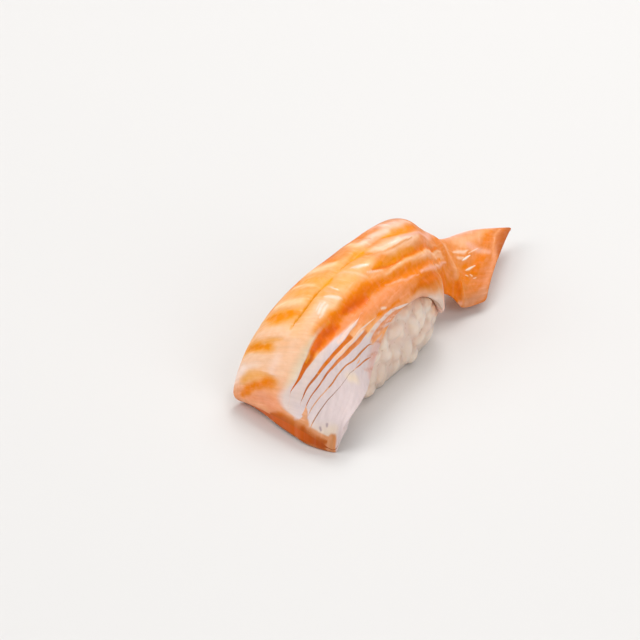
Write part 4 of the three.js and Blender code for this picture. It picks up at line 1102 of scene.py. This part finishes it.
half_sizes = np.array((GRAIN_WIDTH, GRAIN_WIDTH, GRAIN_LENGTH)) * GRAIN_HALVES
placed = []
grain_spine = []                # three points down each grain's middle, to tell grains apart
counted = len(rice_points[0])
for _ in range(GRAIN_TRIES):
    spin, lift, roll, tilt, size, sunk = draw.random(6)
    place, outward = rice_place(np.array(spin * 2 * math.pi), np.array(GRAIN_LOWEST + GRAIN_RISE * lift))
    if any(np.linalg.norm(place - other) < GRAIN_SPACING for other in placed):
        continue
    placed.append(place)
    across_way = unit(np.cross(outward, (0.0, 0.0, 1.0)))
    up_way = np.cross(across_way, outward)
    axis = math.cos(roll * math.pi) * across_way + math.sin(roll * math.pi) * up_way
    axis = unit(axis + outward * GRAIN_TILT * (2 * tilt - 1))
    side = unit(np.cross(axis, outward))
    deep = np.cross(side, axis)
    scale = 1 + GRAIN_SPREAD * (2 * size - 1)
    sizes = scale * half_sizes
    body = grain_body * sizes
    bend = GRAIN_BEND * scale * (1 - (body[:, 2] / sizes[2]) ** 2)
    middle = place - outward * (GRAIN_SUNK[0] + (GRAIN_SUNK[1] - GRAIN_SUNK[0]) * sunk)
    if not shows(middle):
        continue
    grain = middle + (body[:, :1] + bend[:, None]) * side + body[:, 1:2] * deep + body[:, 2:] * axis
    rice_points.append(pressed_under_slice(grain))
    rice_faces += [[v + counted for v in face] for face in grain_faces]
    counted += len(grain)
    grain_spine.append([middle + axis * sizes[2] * share for share in SPINE_SHARES])

# The grains stick: one skin is drawn over heart and grains, with a fillet where they touch.
FUSE_STEP = 0.31
FUSE_SMOOTHING = 8
loose_mesh = bpy.data.meshes.new("loose_rice")
loose_mesh.from_pydata((np.concatenate(rice_points) * MM).tolist(), [], rice_faces)
loose_rice = bpy.data.objects.new("loose_rice", loose_mesh)
bpy.context.scene.collection.objects.link(loose_rice)
fuse = loose_rice.modifiers.new("fuse", "REMESH")
fuse.mode = "VOXEL"
fuse.voxel_size = FUSE_STEP * MM
soften = loose_rice.modifiers.new("soften", "SMOOTH")
soften.factor = 0.5
soften.iterations = FUSE_SMOOTHING
fused = loose_rice.evaluated_get(bpy.context.evaluated_depsgraph_get()).to_mesh()
fused_points = np.empty(len(fused.vertices) * 3, np.float32)
fused.vertices.foreach_get("co", fused_points)
fused_points = pressed_under_slice(fused_points.reshape(-1, 3).astype(float) / MM)
fused_faces = np.empty(len(fused.polygons) * 4, np.int32)
fused.loops.foreach_get("vertex_index", fused_faces)
fused_faces = fused_faces.reshape(-1, 4)
bpy.data.objects.remove(loose_rice)

# What the finish reads at each point of the skin, in mm but for the first: the tone of the
# grain that it belongs to, how much further off the next grain is, which is 0 in a crease,
# and the one after it, which is 0 in a pit, and how far off the slice is.
NEAR_SPINES = 9
NO_GRAIN_NEAR = 9.0
spines = np.array(grain_spine)
grain_tree = KDTree(spines.size // 3)
for number, spine in enumerate(spines):
    for middle in spine:
        grain_tree.insert(Vector(middle), number)
grain_tree.balance()
grain_tone = draw.random(len(spines))
tones = np.empty(len(fused_points))
creases = np.empty(len(fused_points))
pits = np.empty(len(fused_points))
from_slice = np.empty(len(fused_points))
for k, point in enumerate(fused_points):
    nearest = {}
    for place, number, gap in grain_tree.find_n(Vector(point), NEAR_SPINES):
        nearest.setdefault(number, gap)
    own, *others = nearest
    gaps = [nearest[number] - nearest[own] for number in others] + 2 * [NO_GRAIN_NEAR]
    tones[k] = grain_tone[own]
    creases[k], pits[k] = gaps[:2]
    from_slice[k] = slice_tree.find_nearest(Vector(point))[3]
rice = mesh_piece("rice", fused_points, fused_faces, {
    "grain_tone": tones,
    "crease": creases,
    "pit": pits,
    "from_slice": from_slice,
})

# Cooked rice: pale, see-through grains, painted pinker near the slice, partly a stain of its juice and
# partly painted reflected light, and painted darker near the board as painted shade.
GRAIN_TONES = [(0.2, "e3c6b6"), (0.4, "e6cdbc"), (0.6, "e9d4c4"), (0.8, "eddbcd")]
OWN_TONE = 0.35                 # share that each grain's own tone has; the rest is cloudy
FISH_JUICE_AND_REFLECTION = "e4aa88"
BOARD_SHADE = "c2a898"
CREASE_SHADE = "d4ae92"
PIT_SHADE = "b4875e"
cooked = Finish("cooked_rice")
where = cooked.node("TexCoord").outputs["Object"]
cloud = cooked.noise(where, 420.0, 3.0)
tone = cooked.plus(cooked.times(cooked.read("grain_tone"), OWN_TONE), cooked.times(cloud, 1 - OWN_TONE))
rice_colour = cooked.ramp(tone, GRAIN_TONES)
# Pink near the slice: partly the fish's juice, partly painted reflected light from the fish.
near_fish = cooked.plus(cooked.read("from_slice"), cooked.times(cloud, 3.0))
near_fish = cooked.step(near_fish, 4.6, 2.0, 0.0, 0.85)
rice_colour = cooked.mix(near_fish, rice_colour, linear(FISH_JUICE_AND_REFLECTION))
up = cooked.node("SeparateXYZ", {"Vector": where}).outputs["Z"]
rice_colour = cooked.mix(cooked.step(up, 0.011, 0.003, 0.0, 0.2), rice_colour, linear(BOARD_SHADE))
in_crease = cooked.step(cooked.read("crease"), 0.5, 0.0, 0.0, 0.08)
rice_colour = cooked.mix(in_crease, rice_colour, linear(CREASE_SHADE))
in_pit = cooked.step(cooked.read("pit"), 0.45, 0.1, 0.0, 0.5)
rice_colour = cooked.mix(in_pit, rice_colour, linear(PIT_SHADE))
rice_bump = cooked.node("Bump", {
    "Strength": 0.2, "Distance": 0.0002, "Height": cooked.noise(where, 1400.0, 2.0),
})
rice_skin = cooked.node("BsdfPrincipled", {
    "Base Color": rice_colour,
    "Roughness": 0.42,
    "Subsurface Weight": 0.9,
    "Subsurface Radius": (1.0, 0.8, 0.6),
    "Subsurface Scale": 0.006,
    "Coat Weight": 0.35,
    "Coat Roughness": 0.12,
    "Normal": rice_bump.outputs[0],
})
cooked.node("OutputMaterial", {"Surface": rice_skin.outputs[0]})
rice.data.materials.append(cooked.material)
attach(rice, "root")
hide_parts("rice_block")

# ---- floor, light and camera ----
# A plain pale table that the food stands on, under soft studio light: a window and a small
# bright lamp behind it, a panel at one side and a weak fill in front. It is seen from the
# side and from above.
FLOOR_HALF = 1500.0
FLOOR_DROP = 0.02
floor_corners = FLOOR_HALF * np.array([(-1, -1, 0), (1, -1, 0), (1, 1, 0), (-1, 1, 0)])
floor = mesh_piece("floor", floor_corners, np.array([(0, 1, 2, 3)]), {})
floor.location.z = -FLOOR_DROP * MM
table = Finish("pale_table")
table_skin = table.node("BsdfPrincipled", {"Base Color": linear("dedcda"), "Roughness": 0.6})
table.node("OutputMaterial", {"Surface": table_skin.outputs[0]})
floor.data.materials.append(table.material)

VIEW_POINT = Vector((11.75, 13.04, 0.0)) * MM
VIEW_BEARING = math.radians(298.0)
VIEW_HEIGHT = math.radians(32.735)
VIEW_DISTANCE = 1078.6 * MM
VIEW_LENS = 266.96
VIEW_SENSOR = 36.0


def aimed(name, data, bearing, height, distance):
    """A camera or lamp that looks at the food from a bearing, a height in radians over the
    table, and a distance in metres."""
    flat_reach = math.cos(height)
    back = Vector((math.sin(bearing) * flat_reach, -math.cos(bearing) * flat_reach, math.sin(height)))
    thing = bpy.data.objects.new(name, data)
    thing.location = VIEW_POINT + back * distance
    thing.rotation_euler = (VIEW_POINT - thing.location).to_track_quat("-Z", "Y").to_euler()
    bpy.context.scene.collection.objects.link(thing)
    return thing


camera_data = bpy.data.cameras.new("camera")
camera_data.lens = VIEW_LENS
camera_data.sensor_width = VIEW_SENSOR
camera_data.clip_start = 0.05
camera_data.clip_end = 20.0
bpy.context.scene.camera = aimed("camera", camera_data, VIEW_BEARING, VIEW_HEIGHT, VIEW_DISTANCE)

# Each lamp: name, bearing from the camera's and height in degrees, distance and size in
# metres, and watts.
LAMPS = [
    ("back_window", 160, 52, 1.2, 0.8, 9.0),
    ("spark", 165, 48, 1.3, 0.12, 0.6),
    ("side_panel", -75, 45, 1.3, 1.0, 8.0),
    ("front_fill", 40, 35, 1.5, 1.2, 9.0),
]
for name, turned, height, distance, size, watts in LAMPS:
    lamp_data = bpy.data.lights.new(name, "AREA")
    lamp_data.size = size
    lamp_data.energy = watts
    aimed(name, lamp_data, VIEW_BEARING + math.radians(turned), math.radians(height), distance)

BACKDROP_STRENGTH = 0.30
world = bpy.data.worlds.new("studio")
world.use_nodes = True
backdrop = world.node_tree.nodes["Background"]
backdrop.inputs["Color"].default_value = (1.0, 1.0, 1.0, 1.0)
backdrop.inputs["Strength"].default_value = BACKDROP_STRENGTH
bpy.context.scene.world = world
bpy.context.scene.view_settings.view_transform = "Standard"
